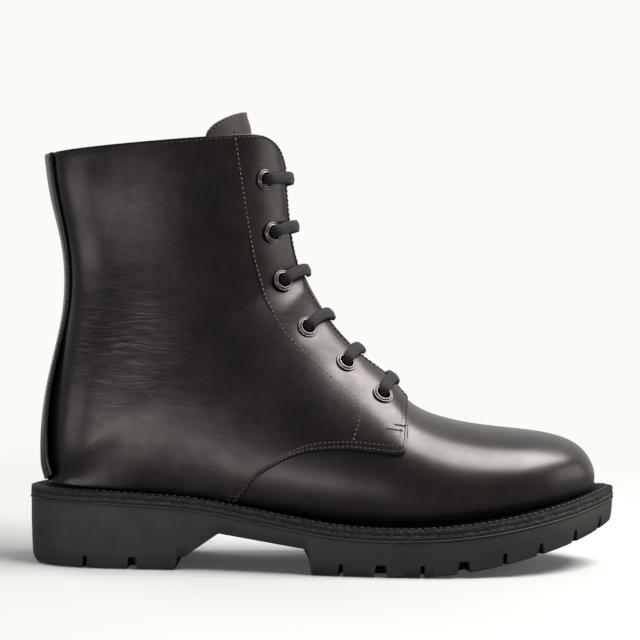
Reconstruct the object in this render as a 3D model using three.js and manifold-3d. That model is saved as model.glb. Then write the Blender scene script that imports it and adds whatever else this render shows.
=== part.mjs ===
// A derby lace-up boot with a welted, lugged rubber sole, right foot, in millimetres.
// +X points to the toe, +Y to the inner (medial) side of the foot and +Z up.
// The upper is laid out on one lasted surface: a fan of side-view lines, each carrying a rounded
// half-section to the left and right. Every leather layer is a closed sheet between two offsets
// of that surface, so the layers nest as they do on a last.
import * as THREE from "three";
import { mergeVertices } from "three/addons/utils/BufferGeometryUtils.js";
import Module from "manifold-3d";

const wasm = await Module();
wasm.setup();

const HEEL_CENTRE_X = 44; // from the back of the sole to the part's origin
const LATERAL = 1; // the outer side of the foot, towards -Y
const MEDIAL = -1;

// Layer offsets from the lasted surface, inner face then outer face.
const QUARTER_LAYER = [0.8, 2.3];
const BACKSTAY_LAYER = [2.9, 4.1];
const VAMP_LAYER = [-1.6, 0];
const STIFFENER_LAYER = [-3.2, -2.4];
const STAY_LAYER = [-1.4, -0.3];
const TOE_PUFF_LAYER = [-4.0, -3.2];
const QUARTER_LINING_LAYER = [-5.4, -4.6];
const VAMP_LINING_LAYER = [-6.9, -6.1];
const TONGUE_LAYER = [-9.9, -8.5];

const FACING_EDGE = 10; // centre line to the quarter's front edge, along the leather
const FACING_WIDTH = 24; // the doubled strip that carries the eyelets
const COLLAR_CORNER = { back: 22, down: 14 }; // rounding of the quarter's top front corner
const BACK_SEAM_GAP = 0.4; // left between the two quarters
const BACKSTAY_HALF_WIDTH = 13;
const TONGUE_HALF_WIDTH = { low: 34, top: 44 };
const WING_OVERLAP = 12; // vamp leather hidden under the quarter

const EYELET = { bore: 3.1, barrel: 3.5, flange: 5.3, clearance: 3.9 };
const EYELET_SEGMENTS = 12;
const LACE_RADIUS = 1.5;
const LACE_RUN_OFFSET = -5.1; // inside run between two eyelets

const WELT_THICKNESS = 2.8;
const MIDSOLE_THICKNESS = 2.3;
const LAYER_GAP = 0.3;
const WELT_WIDTH = 11;
const RIB_WIDTH = 2.5;
const INSOLE_INSET = 18;

// Where the stations of the lasted surface matter to the pattern.
const THROAT = 8.15; // front edge of the quarter, where the lacing ends
const WING_END = 12.2;
const BACK_BOTTOM = 18; // first line that closes on the back seam
const COLLAR = 26;
const HEEL_ROWS = [13, 14, 15, 16, 17, 18, 19, 20]; // shared by the heel counter and the quarters
const WING_ROWS = [8.45, 8.8, 9.5, 10.3, 11.2, WING_END]; // shared by the vamp's wings and the quarters

// The lasted surface from toe to collar. Each row: front point x, z; back or feather point x, z;
// greatest half width lateral, medial; half width at the back point lateral, medial; where along
// the line it is widest; roundness of the front and of the back; centre line y.
const LAST_STATIONS = [
  [298, 46, 297.5, 42.6, 0, 0, 0, 0, 0.6, 2.2, 2.4, 9],
  [296, 53.5, 295.8, 40.8, 15, 15, 13.5, 13.5, 0.6, 2.2, 2.4, 9],
  [291, 61, 291, 39.4, 24, 23, 21.5, 20.5, 0.62, 2.2, 2.4, 8.8],
  [283, 66, 283, 37.6, 32.5, 31, 29.5, 28, 0.66, 2.2, 2.4, 8.5],
  [270, 69.3, 270, 34.7, 41, 38, 37.5, 34.5, 0.7, 2.2, 2.4, 8],
  [252, 71.2, 252, 31.2, 47, 42, 43, 38, 0.72, 2.2, 2.4, 6.3],
  [232, 73.3, 232, 28.2, 50, 44.5, 45.5, 40, 0.74, 2.2, 2.4, 4],
  [213, 77.5, 213, 26.4, 50.5, 46, 46, 41.5, 0.74, 2.2, 2.4, 1.3],
  [198, 84, 196, 25.8, 50, 45.5, 45.5, 41, 0.74, 2.1, 2.4, 0.3],
  [187, 99.5, 176, 25.8, 48, 42, 43.5, 37.5, 0.76, 1.9, 2.4, 0],
  [175.5, 107.5, 155, 27.4, 45.5, 38.5, 41, 34, 0.76, 1.9, 2.4, 0],
  [166, 116.5, 131, 31, 42.5, 36, 38, 31.5, 0.76, 1.9, 2.4, 0],
  [157, 126.5, 106, 35.3, 39.5, 35, 35, 30.5, 0.74, 2, 2.4, 0],
  [149.5, 138, 80, 38.7, 37, 35, 32, 30.5, 0.7, 2, 2.4, 0],
  [144.5, 147, 52, 40, 36, 35, 31, 30, 0.64, 2.1, 2.5, 0],
  [142.5, 152, 30, 40.7, 36, 35, 26.5, 26, 0.6, 2.1, 2.5, 0],
  [141, 156, 17, 41, 35.5, 34.5, 17, 17, 0.58, 2.1, 2.5, 0],
  [140.3, 158, 12, 41.4, 35.2, 34.2, 10.5, 10.5, 0.57, 2.1, 2.55, 0],
  [139.8, 159.5, 10, 42, 35, 34, 0, 0, 0.56, 2.1, 2.6, 0],
  [138.5, 164, 8.5, 60, 34, 33.5, 0, 0, 0.54, 2.1, 2.6, 0],
  [136.8, 171, 10, 83, 33.5, 33, 0, 0, 0.52, 2.1, 2.5, 0],
  [135.2, 179, 15, 107, 33, 32.5, 0, 0, 0.5, 2.15, 2.3, 0],
  [133.8, 187.5, 20.3, 133, 33, 33, 0, 0, 0.5, 2.2, 2.2, 0],
  [133, 195, 20.3, 152, 33.5, 33.5, 0, 0, 0.5, 2.2, 2.2, 0],
  [132.4, 202, 17.5, 171, 34.5, 34.5, 0, 0, 0.5, 2.2, 2.2, 0],
  [131.8, 211, 11.5, 192, 36, 36, 0, 0, 0.5, 2.2, 2.2, 0],
  [131, 224, 9, 213, 37.5, 37.5, 0, 0, 0.5, 2.2, 2.2, 0],
  [130.3, 236, 7.8, 225, 38, 38, 0, 0, 0.5, 2.2, 2.2, 0],
];

// The sole from heel to toe: x, lateral edge, medial edge, height of the welt's top.
const SOLE_STATIONS = [
  [0, 0, 0, 39],
  [2.5, 13, 13, 39],
  [9, 23, 22.5, 39],
  [20, 31, 30.5, 39],
  [38, 36.5, 36, 39],
  [60, 38, 37.5, 38.1],
  [85, 39.5, 37.5, 36.8],
  [110, 43, 37.5, 33],
  [135, 47.5, 39.5, 28.8],
  [160, 51.5, 43.5, 25],
  [185, 54.2, 48, 23.8],
  [210, 54.5, 52, 24.5],
  [232, 52, 54, 26.5],
  [252, 47, 54, 29.5],
  [270, 39.5, 51.5, 33],
  [285, 29, 45, 36.3],
  [296.5, 16, 34.5, 38.9],
  [303.4, 5, 25.5, 40.3],
  [307, -2.6, 16.8, 41.1],
  [308, -9, 9, 41.3],
];

// Lower edge of the quarter in side view: from the welt, round the derby curve, to the throat.
const DERBY_CURVE = [
  [106, 28],
  [112, 38.5],
  [118, 46],
  [127, 52.5],
  [137, 58],
  [148, 61.3],
  [165, 62.5],
  [180, 61.3],
  [200, 59.5],
];

// Eyelet centres in side view, from the collar down.
const EYELETS = [
  [121, 199],
  [125, 172],
  [131, 147],
  [144, 123],
  [164, 105],
  [183, 89],
];

// Tread: heel, breast, waist, forefoot and toe spring.
const TREAD = {
  heelBevel: 9,
  heelEnd: 84,
  breastTop: [101, 19],
  waistEnd: [146, 12.6],
  forefoot: 148,
  springStart: 200,
  springLength: 105,
  springRise: 23,
  springPower: 1.6,
};
const NOTCH = { reach: 13, depth: 6 };
const HEEL_NOTCHES = [
  [32.5, 2.4, 2.4],
  [57, 3.5, 6.5],
];
const FOREFOOT_NOTCHES = [
  [163, 2.4, 2.4],
  [183, 5, 8],
  [204, 2.4, 2.4],
  [225, 5, 8],
  [246, 2.4, 2.4],
  [265, 1.5, 7],
  [284, 1.5, 6],
];

const COLOURS = {
  leather: { color: 0x1d1916, roughness: 0.38, metalness: 0 },
  lining: { color: 0x6d5a48, roughness: 0.75, metalness: 0 },
  stiffener: { color: 0x9a8b76, roughness: 0.85, metalness: 0 },
  rubber: { color: 0x2b2a27, roughness: 0.8, metalness: 0 },
  welt: { color: 0x2a241f, roughness: 0.7, metalness: 0 },
  board: { color: 0x8b6f50, roughness: 0.85, metalness: 0 },
  cork: { color: 0xa27c4f, roughness: 0.95, metalness: 0 },
  steel: { color: 0x9a9a9c, roughness: 0.35, metalness: 1 },
  gunmetal: { color: 0x6b6762, roughness: 0.3, metalness: 1 },
  lace: { color: 0x3a3336, roughness: 0.9, metalness: 0 },
  thread: { color: 0x3c352e, roughness: 0.8, metalness: 0 },
  aglet: { color: 0x26221f, roughness: 0.4, metalness: 0 },
};

// Reads a table between its rows with a smooth curve that never overshoots a row.
function smoothTable(rows) {
  const last = rows.length - 1;
  const step = (i, c) => rows[i + 1][c] - rows[i][c];
  const slopes = rows.map((row, i) =>
    row.map((_, c) => {
      if (i === 0) return (3 * step(0, c) - step(1, c)) / 2;
      if (i === last) return (3 * step(last - 1, c) - step(last - 2, c)) / 2;
      const before = step(i - 1, c);
      const after = step(i, c);
      return before * after > 0 ? (2 * before * after) / (before + after) : 0;
    }),
  );
  return (position) => {
    const i = Math.min(Math.floor(position), last - 1);
    const u = position - i;
    const rise = u * u * (3 - 2 * u);
    return rows[i].map(
      (value, c) =>
        value + step(i, c) * rise + slopes[i][c] * u * (1 - u) ** 2 - slopes[i + 1][c] * u * u * (1 - u),
    );
  };
}

// The position in [low, high] where a function that changes sign once does so.
function crossing(f, low, high) {
  const startsPositive = f(low) > 0;
  let [a, b] = [low, high];
  for (let i = 0; i < 40; i++) {
    const middle = (a + b) / 2;
    if (f(middle) > 0 === startsPositive) a = middle;
    else b = middle;
  }
  return (a + b) / 2;
}

const lastAt = smoothTable(LAST_STATIONS);
const soleAt = smoothTable(SOLE_STATIONS);
const derbyAt = smoothTable(DERBY_CURVE);

// Evenly spaced values, both ends included.
function spread(from, to, count) {
  return Array.from({ length: count + 1 }, (_, i) => from + ((to - from) * i) / count);
}

// ---- the lasted surface ----

// A half-section as points of side-view share and half width, with the length run so far.
function halfSection(length, widest, width, backWidth, frontPower, backPower) {
  const steps = 24;
  const taper = 1 - (width > 0 ? backWidth / width : 1) ** backPower;
  const points = [];
  for (let i = 0; i <= steps; i++) {
    const angle = (i / steps) * (Math.PI / 2);
    const share = widest * (1 - Math.cos(angle) ** (2 / frontPower));
    points.push({ share, half: width * Math.sin(angle) ** (2 / frontPower) });
  }
  for (let i = 1; i <= steps; i++) {
    const reach = Math.sin(((i / steps) * Math.PI) / 2) ** (2 / backPower);
    const half = width * Math.max(0, 1 - taper * reach ** backPower) ** (1 / backPower);
    points.push({ share: widest + (1 - widest) * reach, half: half < 1e-6 * width ? 0 : half });
  }
  let run = 0;
  points.forEach((p, i) => {
    if (i) run += Math.hypot((p.share - points[i - 1].share) * length, p.half - points[i - 1].half);
    p.run = run;
  });
  return points;
}

const sectionCache = new Map();
function section(s) {
  if (!sectionCache.has(s)) {
    const [fx, fz, bx, bz, wl, wm, bl, bm, widest, nf, nb, centre] = lastAt(s);
    const length = Math.hypot(bx - fx, bz - fz);
    const half = (w, b) => halfSection(length, widest, w, b, nf, nb);
    sectionCache.set(s, { fx, fz, bx, bz, centre, [LATERAL]: half(wl, bl), [MEDIAL]: half(wm, bm) });
  }
  return sectionCache.get(s);
}

const isClosed = (s) => s >= BACK_BOTTOM;
const halfLength = (s, side) => section(s)[side].at(-1).run;
const shareOf = (s, side, millimetres) => millimetres / halfLength(s, side);

// A point of the surface. t runs from -1 (medial feather or back seam) over 0 (front) to +1.
function surfacePoint(s, t) {
  let around = t;
  if (isClosed(s) && Math.abs(t) > 1) around = t - 2 * Math.sign(t);
  const side = around < 0 ? MEDIAL : LATERAL;
  const sec = section(s);
  const points = sec[side];
  const target = Math.min(1, Math.abs(around)) * points.at(-1).run;
  const i = Math.max(1, points.findIndex((p) => p.run >= target));
  const u = (target - points[i - 1].run) / (points[i].run - points[i - 1].run || 1);
  const share = points[i - 1].share + u * (points[i].share - points[i - 1].share);
  const half = points[i - 1].half + u * (points[i].half - points[i - 1].half);
  return new THREE.Vector3(
    sec.fx + share * (sec.bx - sec.fx),
    sec.centre - side * half,
    sec.fz + share * (sec.bz - sec.fz),
  );
}

function rawNormal(s, t) {
  const top = LAST_STATIONS.length - 1;
  const along = surfacePoint(Math.min(top, s + 0.05), t).sub(surfacePoint(Math.max(0, s - 0.05), t));
  const limit = isClosed(s) ? 2 : 1;
  const around = surfacePoint(s, Math.min(limit, t + 0.01)).sub(surfacePoint(s, Math.max(-limit, t - 0.01)));
  return along.cross(around).normalize();
}

// Outward normal. The toe's tip and the back seam take the mean of their two sides.
function surfaceNormal(s, t) {
  const onBackSeam = isClosed(s) && Math.abs(t) === 1;
  const column = s === 0 ? Math.max(0.02, Math.abs(t)) : t;
  const normal = rawNormal(s, column);
  if (s === 0 || onBackSeam) normal.add(rawNormal(s, -column));
  if (onBackSeam) normal.setY(0);
  return normal.normalize();
}

const offsetPoint = (s, t, offset) => surfacePoint(s, t).addScaledVector(surfaceNormal(s, t), offset);

// The station line and share of its arc that pass through a side-view point.
function locate(side, x, z) {
  const height = (s) => {
    const sec = section(s);
    return (x - sec.bx) * (sec.fz - sec.bz) - (z - sec.bz) * (sec.fx - sec.bx);
  };
  const s = crossing(height, THROAT - 1, COLLAR);
  const t = crossing((v) => surfacePoint(s, side * v).z - z, 0, 1);
  return { s, t: side * t };
}

function derbyHeight(x) {
  const last = DERBY_CURVE.length - 1;
  if (x <= DERBY_CURVE[0][0]) return 0;
  if (x >= DERBY_CURVE[last][0]) return DERBY_CURVE[last][1];
  return derbyAt(crossing((k) => derbyAt(k)[0] - x, 0, last))[1];
}

// Where the quarter's lower edge crosses a station line; 1 where it runs to the feather.
function derbyShare(s, side) {
  const above = (v) => {
    const p = surfacePoint(s, side * v);
    return p.z - derbyHeight(p.x);
  };
  return above(1) > 0 ? 1 : crossing(above, 0, 1);
}

// ---- closed solids ----

function meshFromTriangles(corners) {
  const geometry = new THREE.BufferGeometry();
  geometry.setAttribute("position", new THREE.Float32BufferAttribute(corners.flatMap((p) => p.toArray()), 3));
  return mergeVertices(geometry, 1e-3);
}

// A sheet between two offsets over a grid of station lines and columns.
// columns(s) gives the grid's t values, keep(i, j) its cells, sealed(i, j) the column edges that
// need no wall because both of their sides are the same line, and place() may move a point.
function sheet({ rows, columns, layer, keep = () => true, sealed = () => false, tipClosed = false, place }) {
  const at = place ?? offsetPoint;
  const faces = layer.map((offset) => rows.map((s) => columns(s).map((t) => at(s, t, offset))));
  const [inner, outer] = faces;
  const count = [rows.length - 1, columns(rows[0]).length - 1];
  const kept = (i, j) => i >= 0 && j >= 0 && i < count[0] && j < count[1] && keep(i, j);
  const corners = [];
  const quad = (a, b, c, d) => corners.push(a, b, c, a, c, d);
  for (let i = 0; i < count[0]; i++) {
    for (let j = 0; j < count[1]; j++) {
      if (!kept(i, j)) continue;
      quad(outer[i][j], outer[i + 1][j], outer[i + 1][j + 1], outer[i][j + 1]);
      quad(inner[i][j], inner[i][j + 1], inner[i + 1][j + 1], inner[i + 1][j]);
      const wall = (i0, j0, i1, j1) => quad(outer[i0][j0], inner[i0][j0], inner[i1][j1], outer[i1][j1]);
      if (!kept(i - 1, j) && !(i === 0 && tipClosed)) wall(i, j + 1, i, j);
      if (!kept(i + 1, j)) wall(i + 1, j, i + 1, j + 1);
      if (!kept(i, j - 1) && !sealed(i, j)) wall(i, j, i + 1, j);
      if (!kept(i, j + 1) && !sealed(i, j + 1)) wall(i + 1, j + 1, i, j + 1);
    }
  }
  return meshFromTriangles(corners);
}

function toManifold(geometry) {
  const plain = geometry.clone();
  plain.deleteAttribute("normal");
  plain.deleteAttribute("uv");
  const merged = mergeVertices(plain, 1e-4);
  return new wasm.Manifold(
    new wasm.Mesh({
      numProp: 3,
      vertProperties: merged.attributes.position.array,
      triVerts: new Uint32Array(merged.index.array),
    }),
  );
}

function cut(geometry, tools) {
  let solid = toManifold(geometry);
  for (const tool of tools) solid = solid.subtract(toManifold(tool));
  const mesh = solid.getMesh();
  const result = new THREE.BufferGeometry();
  result.setAttribute("position", new THREE.BufferAttribute(new Float32Array(mesh.vertProperties), 3));
  result.setIndex(new THREE.BufferAttribute(new Uint32Array(mesh.triVerts), 1));
  return result;
}

// Puts a shape whose axis is +Z on the surface, with that axis along the outward normal.
function alignToSurface(geometry, { s, t }) {
  const turn = new THREE.Quaternion().setFromUnitVectors(new THREE.Vector3(0, 0, 1), surfaceNormal(s, t));
  return geometry.applyMatrix4(
    new THREE.Matrix4().compose(surfacePoint(s, t), turn, new THREE.Vector3(1, 1, 1)),
  );
}

function lathedOnZ(profile, segments) {
  const points = profile.map(([r, z]) => new THREE.Vector2(r, z));
  return new THREE.LatheGeometry(points, segments).rotateX(Math.PI / 2);
}

// ---- upper ----

const eyeletSpots = (side) => EYELETS.map(([x, z]) => locate(side, x, z));

function eyeletHoles(side) {
  return eyeletSpots(side).map((spot) => {
    const drill = new THREE.CylinderGeometry(EYELET.clearance, EYELET.clearance, 14, EYELET_SEGMENTS);
    return alignToSurface(drill.rotateX(Math.PI / 2), spot);
  });
}

// Distance of the quarter's front edge from the centre line, with the rounded collar corner.
function facingDistance(s) {
  const sec = section(s);
  const [topX, topZ] = LAST_STATIONS[COLLAR];
  const below = Math.hypot(topX - sec.fx, topZ - sec.fz) / COLLAR_CORNER.down;
  if (below >= 1) return FACING_EDGE;
  return FACING_EDGE + COLLAR_CORNER.back * (1 - Math.sqrt(1 - (1 - below) ** 2));
}

const backShare = (s, side) => (isClosed(s) ? 1 - shareOf(s, side, BACK_SEAM_GAP / 2) : 1);
const quarterEnd = (s, side) => Math.min(derbyShare(s, side), backShare(s, side));

// Column positions on one side, closer together near the front where the section turns fast.
function sideColumns(side, from, to, count) {
  const values = spread(0, 1, count).map((v) => side * (from + (to - from) * v ** 1.15));
  return side === LATERAL ? values : values.reverse();
}

function quarter(side) {
  const rows = [THROAT, ...WING_ROWS, ...HEEL_ROWS, ...spread(21, 25, 4), 25.5, 25.8, COLLAR];
  const columns = (s) => sideColumns(side, shareOf(s, side, facingDistance(s)), quarterEnd(s, side), 12);
  return cut(sheet({ rows, columns, layer: QUARTER_LAYER }), eyeletHoles(side));
}

function facingStay(side) {
  const rows = [8.5, ...spread(9, 24, 15), 25];
  const from = (s) => shareOf(s, side, FACING_EDGE + 1);
  const to = (s) => shareOf(s, side, FACING_EDGE + Math.min(FACING_WIDTH, 14 + 10 * (s - 8.5)));
  const columns = (s) => sideColumns(side, from(s), to(s), 3);
  return cut(sheet({ rows, columns, layer: STAY_LAYER }), eyeletHoles(side));
}

function quarterLining(side) {
  const rows = [...spread(9.5, 18, 6), ...spread(19.5, 25.9, 5)];
  const from = (s) => shareOf(s, side, FACING_EDGE + FACING_WIDTH + 2);
  const columns = (s) => sideColumns(side, from(s), backShare(s, side), 8);
  return sheet({ rows, columns, layer: QUARTER_LINING_LAYER });
}

// Columns that run from the lateral side round the back seam to the medial side.
const backColumns = (s, reach, count) => {
  const lateral = spread(1 - reach(s, LATERAL), 1, count);
  const medial = spread(1 - reach(s, MEDIAL), 1, count);
  return [...lateral, ...medial.map((v) => -v).reverse()];
};

function backstay() {
  const count = 3;
  const rows = spread(BACK_BOTTOM, COLLAR, 10);
  const reach = (s, side) => shareOf(s, side, BACKSTAY_HALF_WIDTH);
  return sheet({
    rows,
    columns: (s) => backColumns(s, reach, count),
    layer: BACKSTAY_LAYER,
    keep: (i, j) => j !== count,
    sealed: (i, j) => j === count || j === count + 1,
  });
}

function heelCounter() {
  const count = 5;
  const rows = HEEL_ROWS;
  const reach = (s, side) => shareOf(s, side, s < BACK_BOTTOM ? 28 + 6.8 * (s - 13) : 62 - 19 * (s - 18));
  return sheet({
    rows,
    columns: (s) => backColumns(s, reach, count),
    layer: STIFFENER_LAYER,
    place: (s, t, offset) => offsetPoint(s, t, offset - 0.8 * Math.exp(-((s - 17) ** 2))),
    keep: (i, j) => j !== count,
    sealed: (i, j) => rows[i] >= BACK_BOTTOM && (j === count || j === count + 1),
  });
}

// The vamp's outline: full width ahead of the throat, then one wing on each side under the quarter.
// The wings are skived down and sit a little deeper.
function vampSheet(layer, rowsAhead, rowsBehind, overlap) {
  const [wingColumns, middleColumns] = [4, 6];
  const rows = [...rowsAhead, ...rowsBehind];
  const wingShare = (s, side) => {
    const line = Math.max(s, THROAT + 0.3);
    return derbyShare(line, side) - shareOf(line, side, overlap);
  };
  const columns = (s) => {
    const [m, l] = [wingShare(s, MEDIAL), wingShare(s, LATERAL)];
    const edge = s === 0 ? Math.min(m, l) : null;
    const [inM, inL] = edge ? [edge, edge] : [m, l];
    const medial = spread(-1, -inM, wingColumns);
    const lateral = spread(inL, 1, wingColumns);
    const middle = [...spread(-inM, 0, middleColumns / 2), ...spread(0, inL, middleColumns / 2).slice(1)];
    return [...medial, ...middle.slice(1, -1), ...lateral];
  };
  const throatRow = rowsAhead.length - 1;
  const inWing = (j) => j < wingColumns || j >= wingColumns + middleColumns;
  return sheet({
    rows,
    columns,
    layer,
    keep: (i, j) => i < throatRow || inWing(j),
    tipClosed: true,
    place: (s, t, offset) => offsetPoint(s, t, offset - 0.85 * THREE.MathUtils.smoothstep(s, 7.8, 8.6)),
  });
}

const vamp = () => vampSheet(VAMP_LAYER, [0, 0.4, ...spread(1, 8, 7), THROAT], WING_ROWS, WING_OVERLAP);
const vampLining = () => vampSheet(VAMP_LINING_LAYER, [0, 0.4, 1, 2, 3, 4.5, 6, 7.2, THROAT], WING_ROWS, 8);

function toePuff() {
  const rows = [0, 0.4, 1, 2, 3, 4];
  return sheet({ rows, columns: () => spread(-0.86, 0.86, 12), layer: TOE_PUFF_LAYER, tipClosed: true });
}

// The tongue follows the surface inside the facings, swells into the gap between them low down
// and leans back towards its tip.
function tonguePlace(s, t, offset) {
  const side = t < 0 ? MEDIAL : LATERAL;
  const distance = Math.abs(t) * halfLength(s, side);
  const low = THREE.MathUtils.smoothstep(s, 8.6, 9.6) * (1 - THREE.MathUtils.smoothstep(s, 13, 17));
  const swell = 4.5 * low * Math.exp(-((distance / 9) ** 2));
  const lean = 11.5 * THREE.MathUtils.smoothstep(s, 19, 27);
  return offsetPoint(s, t, offset + swell).add(new THREE.Vector3(-lean, 0, 0));
}

function tongue() {
  const rows = [7.5, 8, ...spread(8.6, 14, 6), ...spread(16, 25, 4), 25.85, 26.3, 26.6, 26.8, 26.92];
  const full = (s) => {
    const widening = THREE.MathUtils.smoothstep(s, 20, 25);
    return THREE.MathUtils.lerp(TONGUE_HALF_WIDTH.low, TONGUE_HALF_WIDTH.top, widening);
  };
  const tipNarrowing = (s) => Math.sqrt(Math.max(0, 1 - (Math.max(0, s - 25.85) / 1.12) ** 2));
  const lowNarrowing = (s) => 0.72 + 0.28 * THREE.MathUtils.smoothstep(s, 7.5, 11);
  const width = (s) => full(s) * tipNarrowing(s) * lowNarrowing(s);
  const columns = (s) => [
    ...spread(-shareOf(s, MEDIAL, width(s)), 0, 4),
    ...spread(0, shareOf(s, LATERAL, width(s)), 4).slice(1),
  ];
  return sheet({ rows, columns, layer: TONGUE_LAYER, place: tonguePlace });
}

function eyelet(spot) {
  const top = QUARTER_LAYER[1] + 0.35;
  const bottom = STAY_LAYER[0] - 1;
  const profile = [
    [EYELET.bore, bottom - 0.4],
    [EYELET.flange - 0.5, bottom],
    [EYELET.barrel, bottom],
    [EYELET.barrel, top],
    [EYELET.flange, top],
    [EYELET.bore, top + 0.7],
    [EYELET.bore, bottom - 0.4],
  ];
  return alignToSurface(lathedOnZ(profile, EYELET_SEGMENTS), spot);
}

// ---- lace ----

const laceStations = [LATERAL, MEDIAL].reduce((all, side) => ({ ...all, [side]: eyeletSpots(side) }), {});

// Path through one eyelet and across to the other side, then down through its partner.
function laceBar(k, from) {
  const a = laceStations[from][k];
  const b = laceStations[-from][k];
  const over = (spot, side, distance, offset) =>
    offsetPoint(spot.s, side * shareOf(spot.s, side, distance), offset);
  return [
    offsetPoint(a.s, a.t, -3.2),
    offsetPoint(a.s, a.t, 0.6),
    over(a, from, Math.abs(a.t) * halfLength(a.s, from) - 2, 5.2),
    over(a, from, 9, 4.6),
    offsetPoint((a.s + b.s) / 2, 0, 5.4),
    over(b, -from, 9, 4.6),
    over(b, -from, Math.abs(b.t) * halfLength(b.s, -from) - 2, 5.2),
    offsetPoint(b.s, b.t, 0.6),
    offsetPoint(b.s, b.t, -3.2),
  ];
}

// Inside run from one eyelet towards the next: the whole way, or part of it for a tucked end.
function laceRun(a, b, shares) {
  const between = (u) => offsetPoint(a.s + (b.s - a.s) * u, a.t + (b.t - a.t) * u, LACE_RUN_OFFSET);
  return shares.map(between);
}

function lacePath() {
  const pairs = EYELETS.length;
  const points = laceRun(laceStations[LATERAL][0], laceStations[LATERAL][1], [0.42, 0.32, 0.2]);
  let side = LATERAL;
  for (let k = 0; k < pairs; k++) {
    points.push(...laceBar(k, side));
    side = -side;
    const here = laceStations[side];
    if (k < pairs - 1) points.push(...laceRun(here[k], here[k + 1], [0.2, 0.5, 0.8]));
    else points.push(...laceRun(here[k], here[k - 1], [0.2, 0.32, 0.42]));
  }
  return new THREE.CatmullRomCurve3(points, false, "centripetal");
}

// A cord with a six-sided section, carried along the path without twisting.
function cord(curve, radius, steps) {
  const frames = curve.computeFrenetFrames(steps, false);
  const rings = spread(0, 1, steps).map((u, i) => {
    const centre = curve.getPointAt(u);
    return spread(0, 5, 5).map((side) => {
      const angle = (side * Math.PI) / 3;
      return centre
        .clone()
        .addScaledVector(frames.normals[i], radius * Math.cos(angle))
        .addScaledVector(frames.binormals[i], radius * Math.sin(angle));
    });
  });
  const corners = [];
  for (let i = 0; i < steps; i++) {
    rings[i].forEach((a, j) => {
      const b = rings[i][(j + 1) % 6];
      const [c, d] = [rings[i + 1][(j + 1) % 6], rings[i + 1][j]];
      corners.push(a, b, c, a, c, d);
    });
  }
  for (let j = 1; j < 5; j++) {
    corners.push(rings[0][0], rings[0][j + 1], rings[0][j]);
    corners.push(rings[steps][0], rings[steps][j], rings[steps][j + 1]);
  }
  return meshFromTriangles(corners);
}

function aglet(curve, atStart) {
  const length = 11;
  const profile = [
    [LACE_RADIUS + 0.3, 0],
    [LACE_RADIUS + 0.6, 0],
    [LACE_RADIUS + 0.6, length],
    [LACE_RADIUS + 0.3, length],
    [LACE_RADIUS + 0.3, 0],
  ];
  const end = curve.getPointAt(atStart ? 0 : 1);
  const outwards = curve.getTangentAt(atStart ? 0 : 1).multiplyScalar(atStart ? -1 : 1);
  const turn = new THREE.Quaternion().setFromUnitVectors(new THREE.Vector3(0, 0, 1), outwards);
  const start = end.clone().addScaledVector(outwards, -2);
  return lathedOnZ(profile, 8).applyMatrix4(
    new THREE.Matrix4().compose(start, turn, new THREE.Vector3(1, 1, 1)),
  );
}

// ---- sole ----

const soleRowAt = (x) => crossing((k) => soleAt(k)[0] - x, 0, SOLE_STATIONS.length - 1);

// A point of the sole's edge in plan, moved inwards; the normal comes from the edge's direction.
function soleEdge(k, side, inset) {
  const at = (row) => {
    const [x, lateral, medial] = soleAt(row);
    return new THREE.Vector2(x, side === LATERAL ? -lateral : medial);
  };
  const last = SOLE_STATIONS.length - 1;
  const here = at(k);
  const along = at(Math.min(last, k + 0.02)).sub(at(Math.max(0, k - 0.02))).normalize();
  if (k === 0) along.set(0, -side);
  if (k === last) along.set(0, side);
  return here.add(new THREE.Vector2(-along.y, along.x).multiplyScalar(side * inset));
}

// Top and bottom points of a layer for both edges at one row.
function soleRow(k, topInset, bottomInset, top, bottom) {
  const point = (side, inset, height) => {
    const edge = soleEdge(k, side, inset);
    return new THREE.Vector3(edge.x, edge.y, height(k, edge.x));
  };
  return {
    lateralTop: point(LATERAL, topInset, top),
    medialTop: point(MEDIAL, topInset, top),
    lateralBottom: point(LATERAL, bottomInset, bottom),
    medialBottom: point(MEDIAL, bottomInset, bottom),
  };
}

// A solid layer of the sole between two height functions.
function soleSlab(rows, topInset, bottomInset, top, bottom) {
  const corners = [];
  const quad = (a, b, c, d) => corners.push(a, b, c, a, c, d);
  const lines = rows.map((k) => soleRow(k, topInset, bottomInset, top, bottom));
  for (let i = 0; i < lines.length - 1; i++) {
    const [a, b] = [lines[i], lines[i + 1]];
    quad(a.lateralTop, b.lateralTop, b.medialTop, a.medialTop);
    quad(a.lateralBottom, a.medialBottom, b.medialBottom, b.lateralBottom);
    quad(a.lateralBottom, b.lateralBottom, b.lateralTop, a.lateralTop);
    quad(a.medialBottom, a.medialTop, b.medialTop, b.medialBottom);
  }
  const [first, last] = [lines[0], lines.at(-1)];
  quad(first.lateralBottom, first.lateralTop, first.medialTop, first.medialBottom);
  quad(last.lateralBottom, last.medialBottom, last.medialTop, last.lateralTop);
  return dropSlivers(corners);
}

// Rows that end in a point leave triangles with two equal corners; they are not part of the solid.
function dropSlivers(corners) {
  const kept = [];
  for (let i = 0; i < corners.length; i += 3) {
    const [a, b, c] = corners.slice(i, i + 3);
    const distinct = a.distanceTo(b) > 2e-3 && b.distanceTo(c) > 2e-3 && c.distanceTo(a) > 2e-3;
    if (distinct) kept.push(a, b, c);
  }
  return meshFromTriangles(kept);
}

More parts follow.
